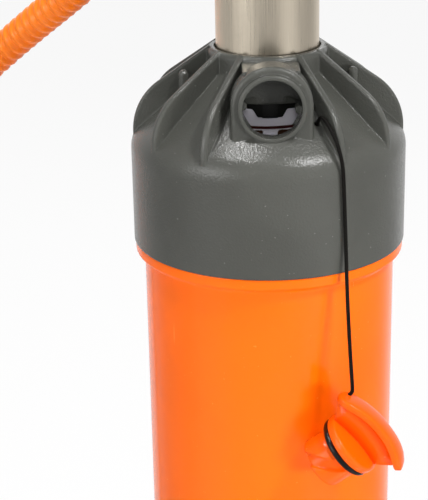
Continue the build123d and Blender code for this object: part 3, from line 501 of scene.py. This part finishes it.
def nurbs_line(name: str, points: Sequence[Vector], fineness: int = 12) -> list[Vector]:
    """Points along the smooth spline of a route.

    Args:
        name: Name for the helper curve.
        points: Control points of the route.
        fineness: Steps per control point.

    Returns:
        Points along the spline, from its start to its end.
    """
    curve = bpy.data.curves.new(name, "CURVE")
    curve.dimensions = "3D"
    curve.resolution_u = fineness
    spline = curve.splines.new("NURBS")
    spline.points.add(len(points) - 1)
    for point, place in zip(spline.points, points):
        point.co = (*place, 1.0)
    spline.order_u = 3
    spline.use_endpoint_u = True
    helper = bpy.data.objects.new(name, curve)
    bpy.context.scene.collection.objects.link(helper)
    bpy.context.view_layer.update()
    mesh = bpy.data.meshes.new_from_object(helper)
    line = [vertex.co.copy() for vertex in mesh.vertices]
    bpy.data.meshes.remove(mesh)
    bpy.data.objects.remove(helper)
    bpy.data.curves.remove(curve)
    return line


def even_steps(line: Sequence[Vector], step: float) -> list[tuple[Vector, Vector, float]]:
    """Stations at even distances along a line.

    Args:
        line: Points of the line.
        step: Distance between stations.

    Returns:
        The place, direction and distance of each station.
    """
    stations, tiny = [], 1e-9
    wanted, passed = 0.0, 0.0
    for a, b in zip(line, line[1:]):
        run = (b - a).length
        if run < tiny:
            continue
        along = (b - a) / run
        while wanted <= passed + run:
            stations.append((a + along * (wanted - passed), along, wanted))
            wanted += step
        passed += run
    stations.append((line[-1].copy(), (line[-1] - line[-2]).normalized(), passed))
    return stations


def line_length(line: Sequence[Vector]) -> float:
    """Length of a line of points."""
    return sum((b - a).length for a, b in zip(line, line[1:]))


def swept_tube(stations: Sequence[tuple[Vector, Vector, float]], radius: Callable[[float], float],
               around: int, unit: float) -> bmesh.types.BMesh:
    """Tube along stations with a radius that changes, and a UV map named along.

    Args:
        stations: Places, directions and distances.
        radius: Radius at a distance.
        around: Corners of the section.
        unit: Distance that counts as one in the UV map's length.

    Returns:
        The tube, with its ends closed.
    """
    shape = bmesh.new()
    layer = shape.loops.layers.uv.new("along")
    side = stations[0][1].orthogonal().normalized()
    rings, before = [], stations[0][1]
    for place, along, distance in stations:
        side = before.rotation_difference(along) @ side
        side = (side - along * side.dot(along)).normalized()
        before = along
        turn = Matrix((side, along.cross(side), along)).transposed().to_4x4()
        turn.translation = place
        ring = bmesh.ops.create_circle(shape, segments=around, radius=radius(distance), matrix=turn)["verts"]
        rings.append((ring, distance))
    for (low, start), (high, end) in zip(rings, rings[1:]):
        for i in range(around):
            j = (i + 1) % around
            face = shape.faces.new((low[i], low[j], high[j], high[i]))
            left, right = i / around, (i + 1) / around
            corners = ((left, start), (right, start), (right, end), (left, end))
            for loop, (u, distance) in zip(face.loops, corners):
                loop[layer].uv = (u, distance / unit)
    for ring, _ in (rings[0], rings[-1]):
        shape.faces.new(ring)
    bmesh.ops.recalc_face_normals(shape, faces=shape.faces)
    return shape


def cap_rim() -> float:
    """Height of the cap's lower rim."""
    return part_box("cap")[0].z


def on_cap(radius: float, turn: float, height: float) -> Vector:
    """A point near the cap.

    Args:
        radius: Distance from the axis, in millimetres.
        turn: Degrees from the front towards +X.
        height: Height over the cap's lower rim, in millimetres.

    Returns:
        The point, in metres.
    """
    a = math.radians(turn)
    flat = Vector((radius * math.sin(a), -radius * math.cos(a), 0)) * MM
    return flat + Vector((0, 0, cap_rim() + height * MM))


# ---- hose
OUTLET_WAY = Vector((-0.72, 0.28, -0.63)).normalized()


@dataclass
class Hose:
    """Corrugated hose: a drop from the handle's outlet, then a flat coil behind the foot.

    Its route has the points of drop between the cuff and the coil; drop, cuff and straight are millimetres.
    """

    outer: float = 16.0 * MM
    valley: float = 13.4 * MM
    pitch: float = 5.3 * MM
    ridge_power: float = 0.6
    around: int = 20
    rings: int = 8
    cuff: float = 24.0
    straight: float = 48.0
    coil_centre: Vector = field(default_factory=lambda: Vector((0, 0.176, 0.008)))
    turn_radius: float = 88.0 * MM
    points_per_turn: int = 24
    landing: Vector = field(default_factory=lambda: Vector((0, 0.276, 0.008)))
    landing_tilt: float = math.radians(6.6)
    length: float = 1.54
    drop: tuple[Place, ...] = (
        (-113, 118, 476), (-147, 128, 445), (-172, 138, 380), (-180, 140, 300), (-180, 130, 215),
        (-166, 114, 130), (-116, 104.5, 61), (-60, 103.5, 33), (-20, 102.5, 12.5), (8, 100.5, 8))

    def route(self) -> list[Vector]:
        """Control points from the cuff down to the coil, round its turns and out at its end.

        The coil is made of half turns that grow, each about a centre a little to one side. Its control points
        stand out from it, because the spline cuts their corners.

        Returns:
            The route's points.
        """
        start = outlet_end() + OUTLET_WAY * self.cuff * MM
        points = [start, start + OUTLET_WAY * self.straight * MM] + [Vector(p) * MM for p in self.drop]
        shift, step, count = self.outer / 4, 360 / self.points_per_turn, self.points_per_turn // 2
        cut = math.cos(math.radians(step / 2)) ** 0.5
        radii = (self.turn_radius - self.outer / 2, self.turn_radius, self.turn_radius + self.outer / 2)
        for half, radius in enumerate(radii):
            centre = self.coil_centre + Vector((0, -shift if half % 2 else shift, 0))
            first, skipped = -90 + 180 * half, 1 if half else 1.5
            last_half = half == len(radii) - 1
            for i in range(count - 1 if last_half else count):
                angle = math.radians(first + step * (i + skipped))
                points.append(centre + Vector((math.cos(angle), math.sin(angle), 0)) * (radius / cut))
        out = Vector((-math.cos(self.landing_tilt), 0, math.sin(self.landing_tilt)))
        return points + [self.landing, self.landing + out * self.cuff * MM]

    def radius(self, distance: float) -> float:
        """Radius of the corrugated wall: broad rounded ridges with narrower valleys."""
        wave = 0.5 + 0.5 * math.cos(math.tau * distance / self.pitch)
        return (self.valley + (self.outer - self.valley) * wave ** self.ridge_power) / 2

    def build(self) -> None:
        route = self.route()
        line = nurbs_line("hose_line", route)
        stations = even_steps(line, self.pitch / self.rings)
        shape = swept_tube(stations, self.radius, self.around, self.pitch)
        hose = mesh_object("corrugated_hose", shape, Finishes.HOSE.value.material())
        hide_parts("hose", "hose_coil")
        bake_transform(hose)
        coarse = [place for place, _, _ in stations[::self.rings]] + [stations[-1][0]]
        LOG.info("hose line %.3f m in %d stations", line_length(line), len(stations))


def outlet_end() -> Vector:
    """End of the elbow's leg, where the cuff starts."""
    back, under, leg = 50 * MM, 20 * MM, 26
    bend = Vector((0, back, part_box("handle")[1].z - under))
    return bend + OUTLET_WAY * leg * MM


# ---- lanyard
@dataclass
class CapCone:
    """Outside of the cap's cone between its ribs, in millimetres from the axis and the cap's lower rim."""

    radius: float = 54.0
    corner: float = 42.9
    slope: float = math.radians(40.7)

    def point(self, radius: float, turn: float, lift: float) -> Vector:
        """A point near the cone.

        Args:
            radius: Radius of the place on the cone.
            turn: Degrees from the front towards +X.
            lift: Distance from that place, square to the cone.

        Returns:
            The point, in metres.
        """
        height = self.corner + (self.radius - radius) * math.tan(self.slope)
        return on_cap(radius + lift * math.sin(self.slope), turn, height + lift * math.cos(self.slope))


@dataclass
class PlugPlace:
    """Frame of the hanging plug: from its seal's middle, along the grip, across it and up its axis.

    In millimetres: the centre from the axis and the cap's lower rim, and in the plug's own frame the place
    where the lanyard goes in.
    """

    centre: Place = (26.6, -60.0, -66.3)
    axis: Place = (0.742, -0.187, 0.644)
    grip: Place = (0.632, -0.123, -0.765)
    lanyard: Place = (-15.6, 1.8, 14.2)

    def matrix(self) -> Matrix:
        """Matrix from the plug's own frame to the model's, in metres."""
        up = Vector(self.axis).normalized()
        grip = Vector(self.grip)
        grip = (grip - up * grip.dot(up)).normalized()
        made = Matrix((grip, up.cross(grip), up)).transposed().to_4x4()
        x, y, z = self.centre
        made.translation = Vector((x * MM, y * MM, cap_rim() + z * MM))
        return made


def skin(shape: bmesh.types.BMesh, rows: Sequence[Sequence[bmesh.types.BMVert]], capped: bool = True) -> None:
    """Joins closed rows of corners, one to the next, with faces.

    Args:
        shape: The bmesh that the corners belong to.
        rows: Rows with the same number of corners.
        capped: Whether the first and the last row are closed with a face each.
    """
    for low, high in zip(rows, rows[1:]):
        for i in range(len(low)):
            j = (i + 1) % len(low)
            shape.faces.new((low[i], low[j], high[j], high[i]))
    for row in (rows[0], rows[-1]) if capped else ():
        shape.faces.new(row)


def share(value: float, low: float, high: float) -> float:
    """Smooth step from 0 at low to 1 at high."""
    t = min(1.0, max(0.0, (value - low) / (high - low)))
    return t * t * (3 - 2 * t)


def boxed(value: float, power: float) -> float:
    """A sine or cosine pushed outwards by a power below 1, which turns an ellipse into a rounded box."""
    return math.copysign(abs(value) ** power, value)


@dataclass
class CastellatedSleeve:
    """Dark sleeve round the rod, seen through the port: a narrow tab in front of a wide one, six times round.

    Lengths are in millimetres and levels are over the cap's lower rim. An edge is the level between the tabs
    and the half widths at which a tab is still whole and at which it has ended.
    """

    radii: tuple[float, float, float] = (23.15, 22.4, 21.8)
    gap: float = 0.02
    top: float = 63.9
    tab: float = 53.9
    tab_spacing: float = math.pi / 3
    front_edge: tuple[float, float, float] = (59.0, 3.0, 3.4)
    back_edge: tuple[float, float, float] = (57.0, 4.4, 7.0)
    columns: int = 720

    def wall(self, shape: bmesh.types.BMesh, outer: float, inner: float, edge: Sequence[float]) -> None:
        """One wall whose lower edge has tabs.

        Args:
            shape: The bmesh to add to.
            outer: Outer radius.
            inner: Inner radius.
            edge: Its lower edge.
        """
        rows, half = [], self.tab_spacing / 2
        between, whole, ended = edge
        for i in range(self.columns):
            turn = math.tau * i / self.columns
            away = abs((turn + half) % self.tab_spacing - half) * outer
            low = self.tab + (between - self.tab) * share(away, whole, ended)
            x, y = math.sin(turn), -math.cos(turn)
            corners = ((outer, low), (outer, self.top), (inner, self.top), (inner, low))
            rows.append([shape.verts.new((r * x, r * y, z)) for r, z in corners])
        skin(shape, rows + rows[:1], capped=False)

    def build(self) -> None:
        """Makes the sleeve in place of the plain one."""
        shape = bmesh.new()
        outer, between, inner = self.radii
        self.wall(shape, outer, between, self.front_edge)
        self.wall(shape, between - self.gap, inner, self.back_edge)
        bmesh.ops.scale(shape, vec=(MM, MM, MM), verts=shape.verts)
        bmesh.ops.translate(shape, vec=(0, 0, cap_rim()), verts=shape.verts)
        bmesh.ops.recalc_face_normals(shape, faces=shape.faces)
        sleeve = mesh_object("castellated_sleeve", shape, Finishes.SLEEVE.value.material(), smooth=False)
        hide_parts("guide_sleeve")
        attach(sleeve, "barrel")
        LOG.info("sleeve made with %d columns", self.columns)


@dataclass
class ModePlug:
    """Plug of the mode port: a spigot with three helical slots, a flange and an arched grip.

    All in millimetres in the plug's own frame: seal's middle at the origin, grip along X, axis along Z. The
    profiles are pairs of a radius and a height. Over the stretch called tipping, the grip's outer face comes
    to lean to one side.
    """

    wall: float = 10.0
    wall_start: float = -11.8
    wall_step: float = 0.3
    wall_rows: int = 29
    tip: tuple = ((0.02, -12.8), (6.0, -12.8), (9.0, -12.8), (9.6, -12.55), (9.9, -12.1))
    flange: tuple = (
        (9.9, -3.1), (9.45, -2.7), (9.4, 1.4), (12.1, 1.4), (12.45, 1.55), (12.6, 1.9), (12.6, 3.8),
        (12.5, 4.2), (12.25, 4.55), (11.8, 4.75), (8.0, 5.3), (4.0, 5.75), (0.02, 5.95))
    slot_turn: float = 259.0
    slot_level: float = -7.0
    slot_pitch: float = 6.2
    slot_depth: float = 1.7
    slot_half: float = 3.3
    slot_edge: float = 0.25
    slot_spacing: float = 120.0
    slot_inside: float = 8.9
    slot_top: float = -2.9
    columns: int = 240
    arch: float = 34.0
    rise: float = 18.0
    thick: float = 2.9
    ends: tuple[float, float] = (-18.9, 19.8)
    half_width: float = 4.7
    section_power: float = 0.3
    dome: float = 0.7
    tipping: tuple[float, float] = (2.0, 14.0)
    end_thickness: float = 0.3
    web_start: float = -16.4
    web_length: float = 32.0
    web_middle: float = -0.4
    web_half: float = 1.7
    web_foot: tuple[float, float] = (4.6, 5.0)
    web_flare: tuple[float, float] = (11.9, 1.25)

    def sunk(self, turn: float, z: float) -> float:
        """Depth of the slots.

        Args:
            turn: Degrees round the spigot.
            z: Height from the seal.

        Returns:
            The depth.
        """
        centre = self.slot_turn + (z - self.slot_level) * self.slot_pitch
        half = self.slot_spacing / 2
        away = abs((turn - centre + half) % self.slot_spacing - half) * math.radians(1) * self.wall
        edges = self.slot_half - self.slot_edge, self.slot_half + self.slot_edge
        return self.slot_depth * (1 - share(away, *edges))

    def turned(self, shape: bmesh.types.BMesh) -> None:
        """Spigot and flange, turned about the axis."""
        wall = [(self.wall, self.wall_start + self.wall_step * i) for i in range(self.wall_rows)]
        rows = []
        for radius, z in (*self.tip, *wall, *self.flange):
            slotted = radius > self.slot_inside and z < self.slot_top
            row = []
            for i in range(self.columns):
                turn = 360 * i / self.columns
                r = radius - (self.sunk(turn, z) if slotted else 0)
                a = math.radians(turn)
                row.append(shape.verts.new((r * math.cos(a), r * math.sin(a), z)))
            rows.append(row)
        skin(shape, rows)

    def crest(self, x: float) -> float:
        """Height of the grip's outer face over the seal, at a place along it."""
        return self.rise - self.arch + math.sqrt(self.arch ** 2 - x ** 2)

    def rim(self, shape: bmesh.types.BMesh, end_steps: int = 14, steps: int = 40, around: int = 40) -> None:
        """Arched rim with a slightly domed outer face and rounded ends.

        Args:
            shape: The bmesh to add to.
            end_steps: Steps along each rounded end.
            steps: Steps between the ends.
            around: Corners of the section.
        """
        low, high = self.ends
        half, rows = self.half_width, []
        eased = [(1 - math.cos(math.pi * i / (2 * end_steps))) * half / 2 for i in range(end_steps + 1)]
        middle = {low + half + (high - low - 2 * half) * i / steps for i in range(steps + 1)}
        for x in sorted({low + e for e in eased} | middle | {high - e for e in eased}):
            past = max(low + half - x, x - (high - half), 0.0)
            wide = max(0.05, math.sqrt(max(0.0, half ** 2 - past ** 2)))
            thickness = self.end_thickness + (1 - self.end_thickness) * wide / half
            crest = self.crest(x)
            lean = math.atan2(x, self.arch - self.rise + crest)
            row = []
            for i in range(around):
                a = math.tau * i / around
                across = boxed(math.cos(a), self.section_power) * wide
                up = boxed(math.sin(a), self.section_power) * self.thick / 2
                if up > 0:
                    tipped = self.dome * share(x, *self.tipping) * share(across, -half, half)
                    up += self.dome * (1 - (across / half) ** 2) + tipped
                depth = up * thickness - self.thick / 2
                corner = (x + depth * math.sin(lean), across, crest + depth * math.cos(lean))
                row.append(shape.verts.new(corner))
            rows.append(row)
        skin(shape, rows)

    def web(self, shape: bmesh.types.BMesh, steps: int = 40) -> None:
        """Plate between the flange and the rim, whose foot rises where it stands out over the flange.

        Args:
            shape: The bmesh to add to.
            steps: Steps along the plate.
        """
        rows, side = [], self.web_half
        (lowest, level), (reach, climb) = self.web_foot, self.web_flare
        for i in range(steps + 1):
            x = self.web_start + self.web_length * i / steps
            top = self.crest(x) - self.thick * 0.5
            foot = min(top, max(lowest, level + (abs(x - self.web_middle) - reach) * climb))
            corners = ((-side, foot), (side, foot), (side, top), (-side, top))
            rows.append([shape.verts.new((x, y, z)) for y, z in corners])
        skin(shape, rows)

    def build(self) -> bpy.types.Object:
        """Makes the plug in place of the plain one and of the knot in it.

        Returns:
            The plug.
        """
        shape = bmesh.new()
        self.turned(shape)
        self.rim(shape)
        self.web(shape)
        bmesh.ops.scale(shape, vec=(MM, MM, MM), verts=shape.verts)
        bmesh.ops.transform(shape, matrix=PlugPlace().matrix(), verts=shape.verts)
        bmesh.ops.recalc_face_normals(shape, faces=shape.faces)
        plug = mesh_object("mode_plug", shape, Finishes.PLUG.value.material())
        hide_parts("plug", "plug_knot")
        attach(plug, "plug")
        LOG.info("plug made")
        return plug


@dataclass
class Lanyard:
    """Thin braided cord from a hole in the cap, over its shoulder and down to the plug.

    The hole is a radius and a turn, and the points of over add a height, as on_cap has them. The cord comes
    up through the hole between the two hole_lifts from the cone, and sags by slack at the slack_parts of its
    drop. These lengths and last_bend are millimetres.
    """

    diameter: float = 1.45 * MM
    hole: tuple[float, float] = (39.8, 24.7)
    hole_lifts: tuple[float, float] = (-4.5, 0.6)
    over: tuple[Place, ...] = (
        (42.5, 25.2, 58.6), (45.5, 25.9, 57.0), (49.0, 26.2, 54.2), (52.4, 26.4, 50.6), (54.4, 26.8, 46.6),
        (55.3, 27.4, 41.5), (55.4, 27.8, 34.0), (55.4, 28.4, 22.0), (55.4, 29.0, 10.0))
    slack_parts: tuple[float, float] = (0.35, 0.75)
    slack: tuple[float, float] = (-0.5, -0.4)
    last_bend: Place = (0.1, 0, 2.2)
    mouth_over: float = 1.6 * MM
    end_under: float = 3.4 * MM
    length: float = 0.117
    around: int = 12
    step: float = 0.35 * MM
    braid_length: float = 1.3 * MM
    path_step: int = 5

    def route(self) -> list[Vector]:
        """Control points from inside the hole to inside the plug's grip.

        Returns:
            The route's points.
        """
        cone = CapCone()
        points = [cone.point(*self.hole, lift) for lift in self.hole_lifts]
        points += [on_cap(*spot) for spot in self.over]
        place = PlugPlace()
        matrix = place.matrix()
        x, y, z = (c * MM for c in place.lanyard)
        mouth = matrix @ Vector((x, y, z + self.mouth_over))
        below = points[-1]
        for part in self.slack_parts:
            sag = Vector((self.slack[0] * MM * (1 - part), self.slack[1] * MM, 0))
            points.append(below.lerp(mouth, part) + sag)
        above = mouth + Vector(self.last_bend) * MM
        return points + [above, mouth, matrix @ Vector((x, y, z - self.end_under))]

    def build(self, plug: bpy.types.Object) -> None:
        """Args:
            plug: The plug that hangs on it; not used.
        """
        line = nurbs_line("lanyard_line", self.route(), fineness=10)
        stations = even_steps(line, self.step)
        shape = swept_tube(stations, lambda distance: self.diameter / 2, self.around, self.braid_length)
        cord = mesh_object("braided_lanyard", shape, Finishes.BRAID.value.material())
        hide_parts("lanyard_top", "lanyard_drop")
        pivot = next(j for j in frame["joints"] if j["name"] == "plug_swing")["pos_m"]
        pivot[2] + 2 * MM
        pivot[2] - 4 * MM
        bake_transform(cord)
        coarse = [place for place, _, _ in stations[::self.path_step]] + [stations[-1][0]]
        dress(Finishes.BRAID.value, "cap_knot")
        LOG.info("lanyard line %.4f m", line_length(line))


# ---- stage
@dataclass(frozen=True)
class Lamp:
    """Rectangular area lamp, in metres and watts; one that isn't mirrored doesn't show in the gloss."""

    name: str
    place: Place
    aim: Place
    size: tuple[float, float]
    watts: float
    mirrored: bool = True

    def build(self) -> None:
        """Adds the lamp to the scene, turned towards its aim."""
        data = bpy.data.lights.new(self.name, "AREA")
        data.shape = "RECTANGLE"
        data.size, data.size_y = self.size
        data.energy = self.watts
        lamp = bpy.data.objects.new(self.name, data)
        lamp.location = self.place
        lamp.visible_glossy = self.mirrored
        lamp.rotation_euler = (Vector(self.aim) - Vector(self.place)).to_track_quat("-Z", "Y").to_euler()
        bpy.context.scene.collection.objects.link(lamp)


LAMPS = (
    Lamp("main", (0.88, -1.19, 0.50), (0, 0, 0.42), (0.42, 0.26), 11.0, mirrored=False),
    Lamp("fill", (-1.20, -1.00, 0.80), (0, 0, 0.42), (0.8, 0.8), 6.8),
    Lamp("front", (-0.05, -1.45, 1.05), (0, 0, 0.47), (0.2, 0.2), 4.0, mirrored=False),
    Lamp("high_right", (0.60, -0.57, 1.51), (0, 0, 0.46), (0.14, 0.09), 10.0),
    Lamp("high_left", (-0.33, -0.23, 1.71), (0, 0, 0.46), (0.12, 0.08), 7.0),
    Lamp("rim", (0.1, 1.3, 1.30), (0, 0, 0.47), (1.2, 0.5), 6.0),
)


@dataclass(frozen=True)
class Band:
    """Bright upright band in what the gloss sees: the angles over which it rises and falls, and its glow.

    Angles are in radians about the pump's axis, from the front towards +X.
    """

    rise: tuple[float, float]
    fall: tuple[float, float]
    glow: float

    def seen(self, angle: Wire) -> Wire:
        """How bright the band is at an angle."""
        return angle.ramp(*self.rise) * (1 - angle.ramp(*self.fall)) * self.glow


@dataclass
class Studio:
    """Camera, lamps, and a white floor and surroundings of which the gloss sees only parts.

    The camera's place is in metres from the axis and the cap's lower rim, and its angles are in radians.
    """

    place: Place = (-0.0222, -0.5900, 0.2132)
    pitch: float = math.radians(20.502)
    roll: float = -0.0203
    lens: float = 112.04
    sensor: float = 36.0
    clip: tuple[float, float] = (0.01, 50.0)
    front_glow: float = 0.25
    back_start: tuple[float, float] = (1.8, 2.7)
    right: Band = Band(rise=(0.35, 0.6), fall=(0.95, 1.3), glow=0.75)
    left: Band = Band(rise=(-1.5, -1.15), fall=(-0.8, -0.55), glow=0.5)
    plain_light: float = 0.28
    floor_white: float = 0.9
    floor_radius: float = 12.0
    floor_level: float = -0.0002

    def camera(self) -> None:
        """Sets the camera."""
        data = bpy.data.cameras.new("view")
        data.lens, data.sensor_width = self.lens, self.sensor
        data.clip_start, data.clip_end = self.clip
        seen = bpy.data.objects.new("view", data)
        bpy.context.scene.collection.objects.link(seen)
        x, y, z = self.place
        tilt = Matrix.Rotation(math.pi / 2 - self.pitch, 4, "X") @ Matrix.Rotation(self.roll, 4, "Z")
        seen.matrix_world = Matrix.Translation((x, y, cap_rim() + z)) @ tilt
        bpy.context.scene.camera = seen

    def seen_share(self, graph: Graph, direction: Wire) -> Wire:
        """How much of the white surroundings a ray sees.

        The camera sees all of them. Gloss and clear pieces see white behind the pump, a band at each side of
        the front, and only a dim glow in between, which gives the gloss of the barrel its edges.

        Args:
            graph: The material or world.
            direction: Where the ray ends, as a vector from the pump's axis.

        Returns:
            The share, between 0 and 1.
        """
        camera = graph.node("ShaderNodeLightPath", out="Is Camera Ray")
        gloss = graph.node("ShaderNodeLightPath", out="Is Glossy Ray")
        clear = graph.node("ShaderNodeLightPath", out="Is Transmission Ray")
        side, depth = graph.axis(direction, "X"), graph.axis(direction, "Y")
        angle = graph.node("ShaderNodeMath", {"operation": "ARCTAN2"}, {0: side, 1: depth * -1.0})
        back = angle.most(angle * -1.0).ramp(*self.back_start)
        bands = back.most(self.right.seen(angle)).most(self.left.seen(angle))
        bright = bands.ramp(0.0, 1.0, bottom=self.front_glow)
        return camera.most(gloss.most(clear) * bright)

    def surrounded(self, graph: Graph, coordinates: str, glow: str, lit: Wire,
                   white_share: float = 1.0) -> Wire:
        """Shader that is white to the camera, banded to the gloss, and another shader to other rays.

        Args:
            graph: The material or world.
            coordinates: The texture coordinate that points away from the pump's axis.
            glow: The node that glows: a background for the world, an emission for a material.
            lit: The shader for the rays that light the pump.
            white_share: How much of the white is mixed in where it is seen.

        Returns:
            The mixed shader.
        """
        seen = self.seen_share(graph, graph.node("ShaderNodeTexCoord", out=coordinates))
        white = graph.node(glow, {}, {"Color": WHITE_LIGHT, "Strength": 1.0})
        dim = graph.node(glow, {}, {"Color": WHITE_LIGHT, "Strength": self.front_glow})
        gloss = graph.node("ShaderNodeLightPath", out="Is Glossy Ray")
        unseen = graph.node("ShaderNodeMixShader", {}, {0: gloss, 1: lit, 2: dim})
        return graph.node("ShaderNodeMixShader", {}, {0: seen * white_share, 1: unseen, 2: white})

    def world(self) -> None:
        """Surroundings: white with bands, and a plain grey that lights the pump from all sides."""
        world = bpy.data.worlds.new("studio")
        bpy.context.scene.world = world
        world.use_nodes = True
        graph = Graph(world.node_tree)
        plain = graph.node("ShaderNodeBackground", {}, {"Color": WHITE_LIGHT, "Strength": self.plain_light})
        shown = self.surrounded(graph, "Generated", "ShaderNodeBackground", plain)
        graph.node("ShaderNodeOutputWorld", {}, {"Surface": shown})

    def floor(self) -> None:
        """Lays the floor: white to the camera, with the object's shadow kept."""
        shape = bmesh.new()
        bmesh.ops.create_circle(shape, cap_ends=True, segments=64, radius=self.floor_radius)
        bmesh.ops.translate(shape, verts=shape.verts, vec=(0, 0, self.floor_level))
        made = bpy.data.materials.new("pale_floor")
        made.use_nodes = True
        graph = Graph(made.node_tree)
        matte = graph.node("ShaderNodeBsdfDiffuse", {}, {"Color": WHITE_LIGHT})
        shown = self.surrounded(graph, "Object", "ShaderNodeEmission", matte, self.floor_white)
        graph.node("ShaderNodeOutputMaterial", {}, {"Surface": shown})
        floor = mesh_object("floor", shape, made, smooth=False)

    def build(self) -> None:
        """Puts up the camera, the world, the floor and the lamps."""
        bpy.context.scene.view_settings.view_transform = "Standard"
        self.camera()
        self.world()
        self.floor()
        for lamp in LAMPS:
            lamp.build()


# ---- finishes of the nodes
DRESSED = {
    Finishes.BARREL: ("barrel",),
    Finishes.CAP: ("cap",),
    Finishes.WHITE: ("top_guide",),
    Finishes.PALE: ("piston_wear_ring",),
    Finishes.RED: ("shaft_seal", "piston_seal"),
    Finishes.OILED_RED: ("guide_ring",),
    Finishes.ROD: ("shaft", "air_tube"),
    Finishes.STEEL: ("foot_screws", "shaft_pins", "piston_screws", "cover_screws"),
    Finishes.BLACK: ("foot_plate", "handle", "piston_base", "piston_cover", "manifold", "outlet_elbow",
                     "hose_nut", "valve_fitting"),
    Finishes.SOFT: ("grip_left", "grip_right", "hose_cuff", "hose_end_cuff"),
    Finishes.ORANGE: ("hub_cover", "end_cap_left", "end_cap_right"),
    Finishes.RUBBER: ("intake_flap", "bottom_bumper", "foot_pads", "shaft_wiper", "cap_gasket",
                      "delivery_flap", "cover_gasket", "ring_flap", "elbow_ring", "fitting_gasket"),
    Finishes.SEAL: ("plug_ring",),
}


def dress_nodes() -> None:
    """Gives every carried-over node its finish, except the cap's knot, which the lanyard dresses."""
    for finish, nodes in DRESSED.items():
        dress(finish.value, *nodes)


def main() -> None:
    """Builds the stage and every piece in order."""
    logging.basicConfig(level=logging.INFO, format="%(message)s")
    Studio().build()
    Hose().build()
    Lanyard().build(ModePlug().build())
    CastellatedSleeve().build()
    dress_nodes()


if __name__ == "__main__":
    main()
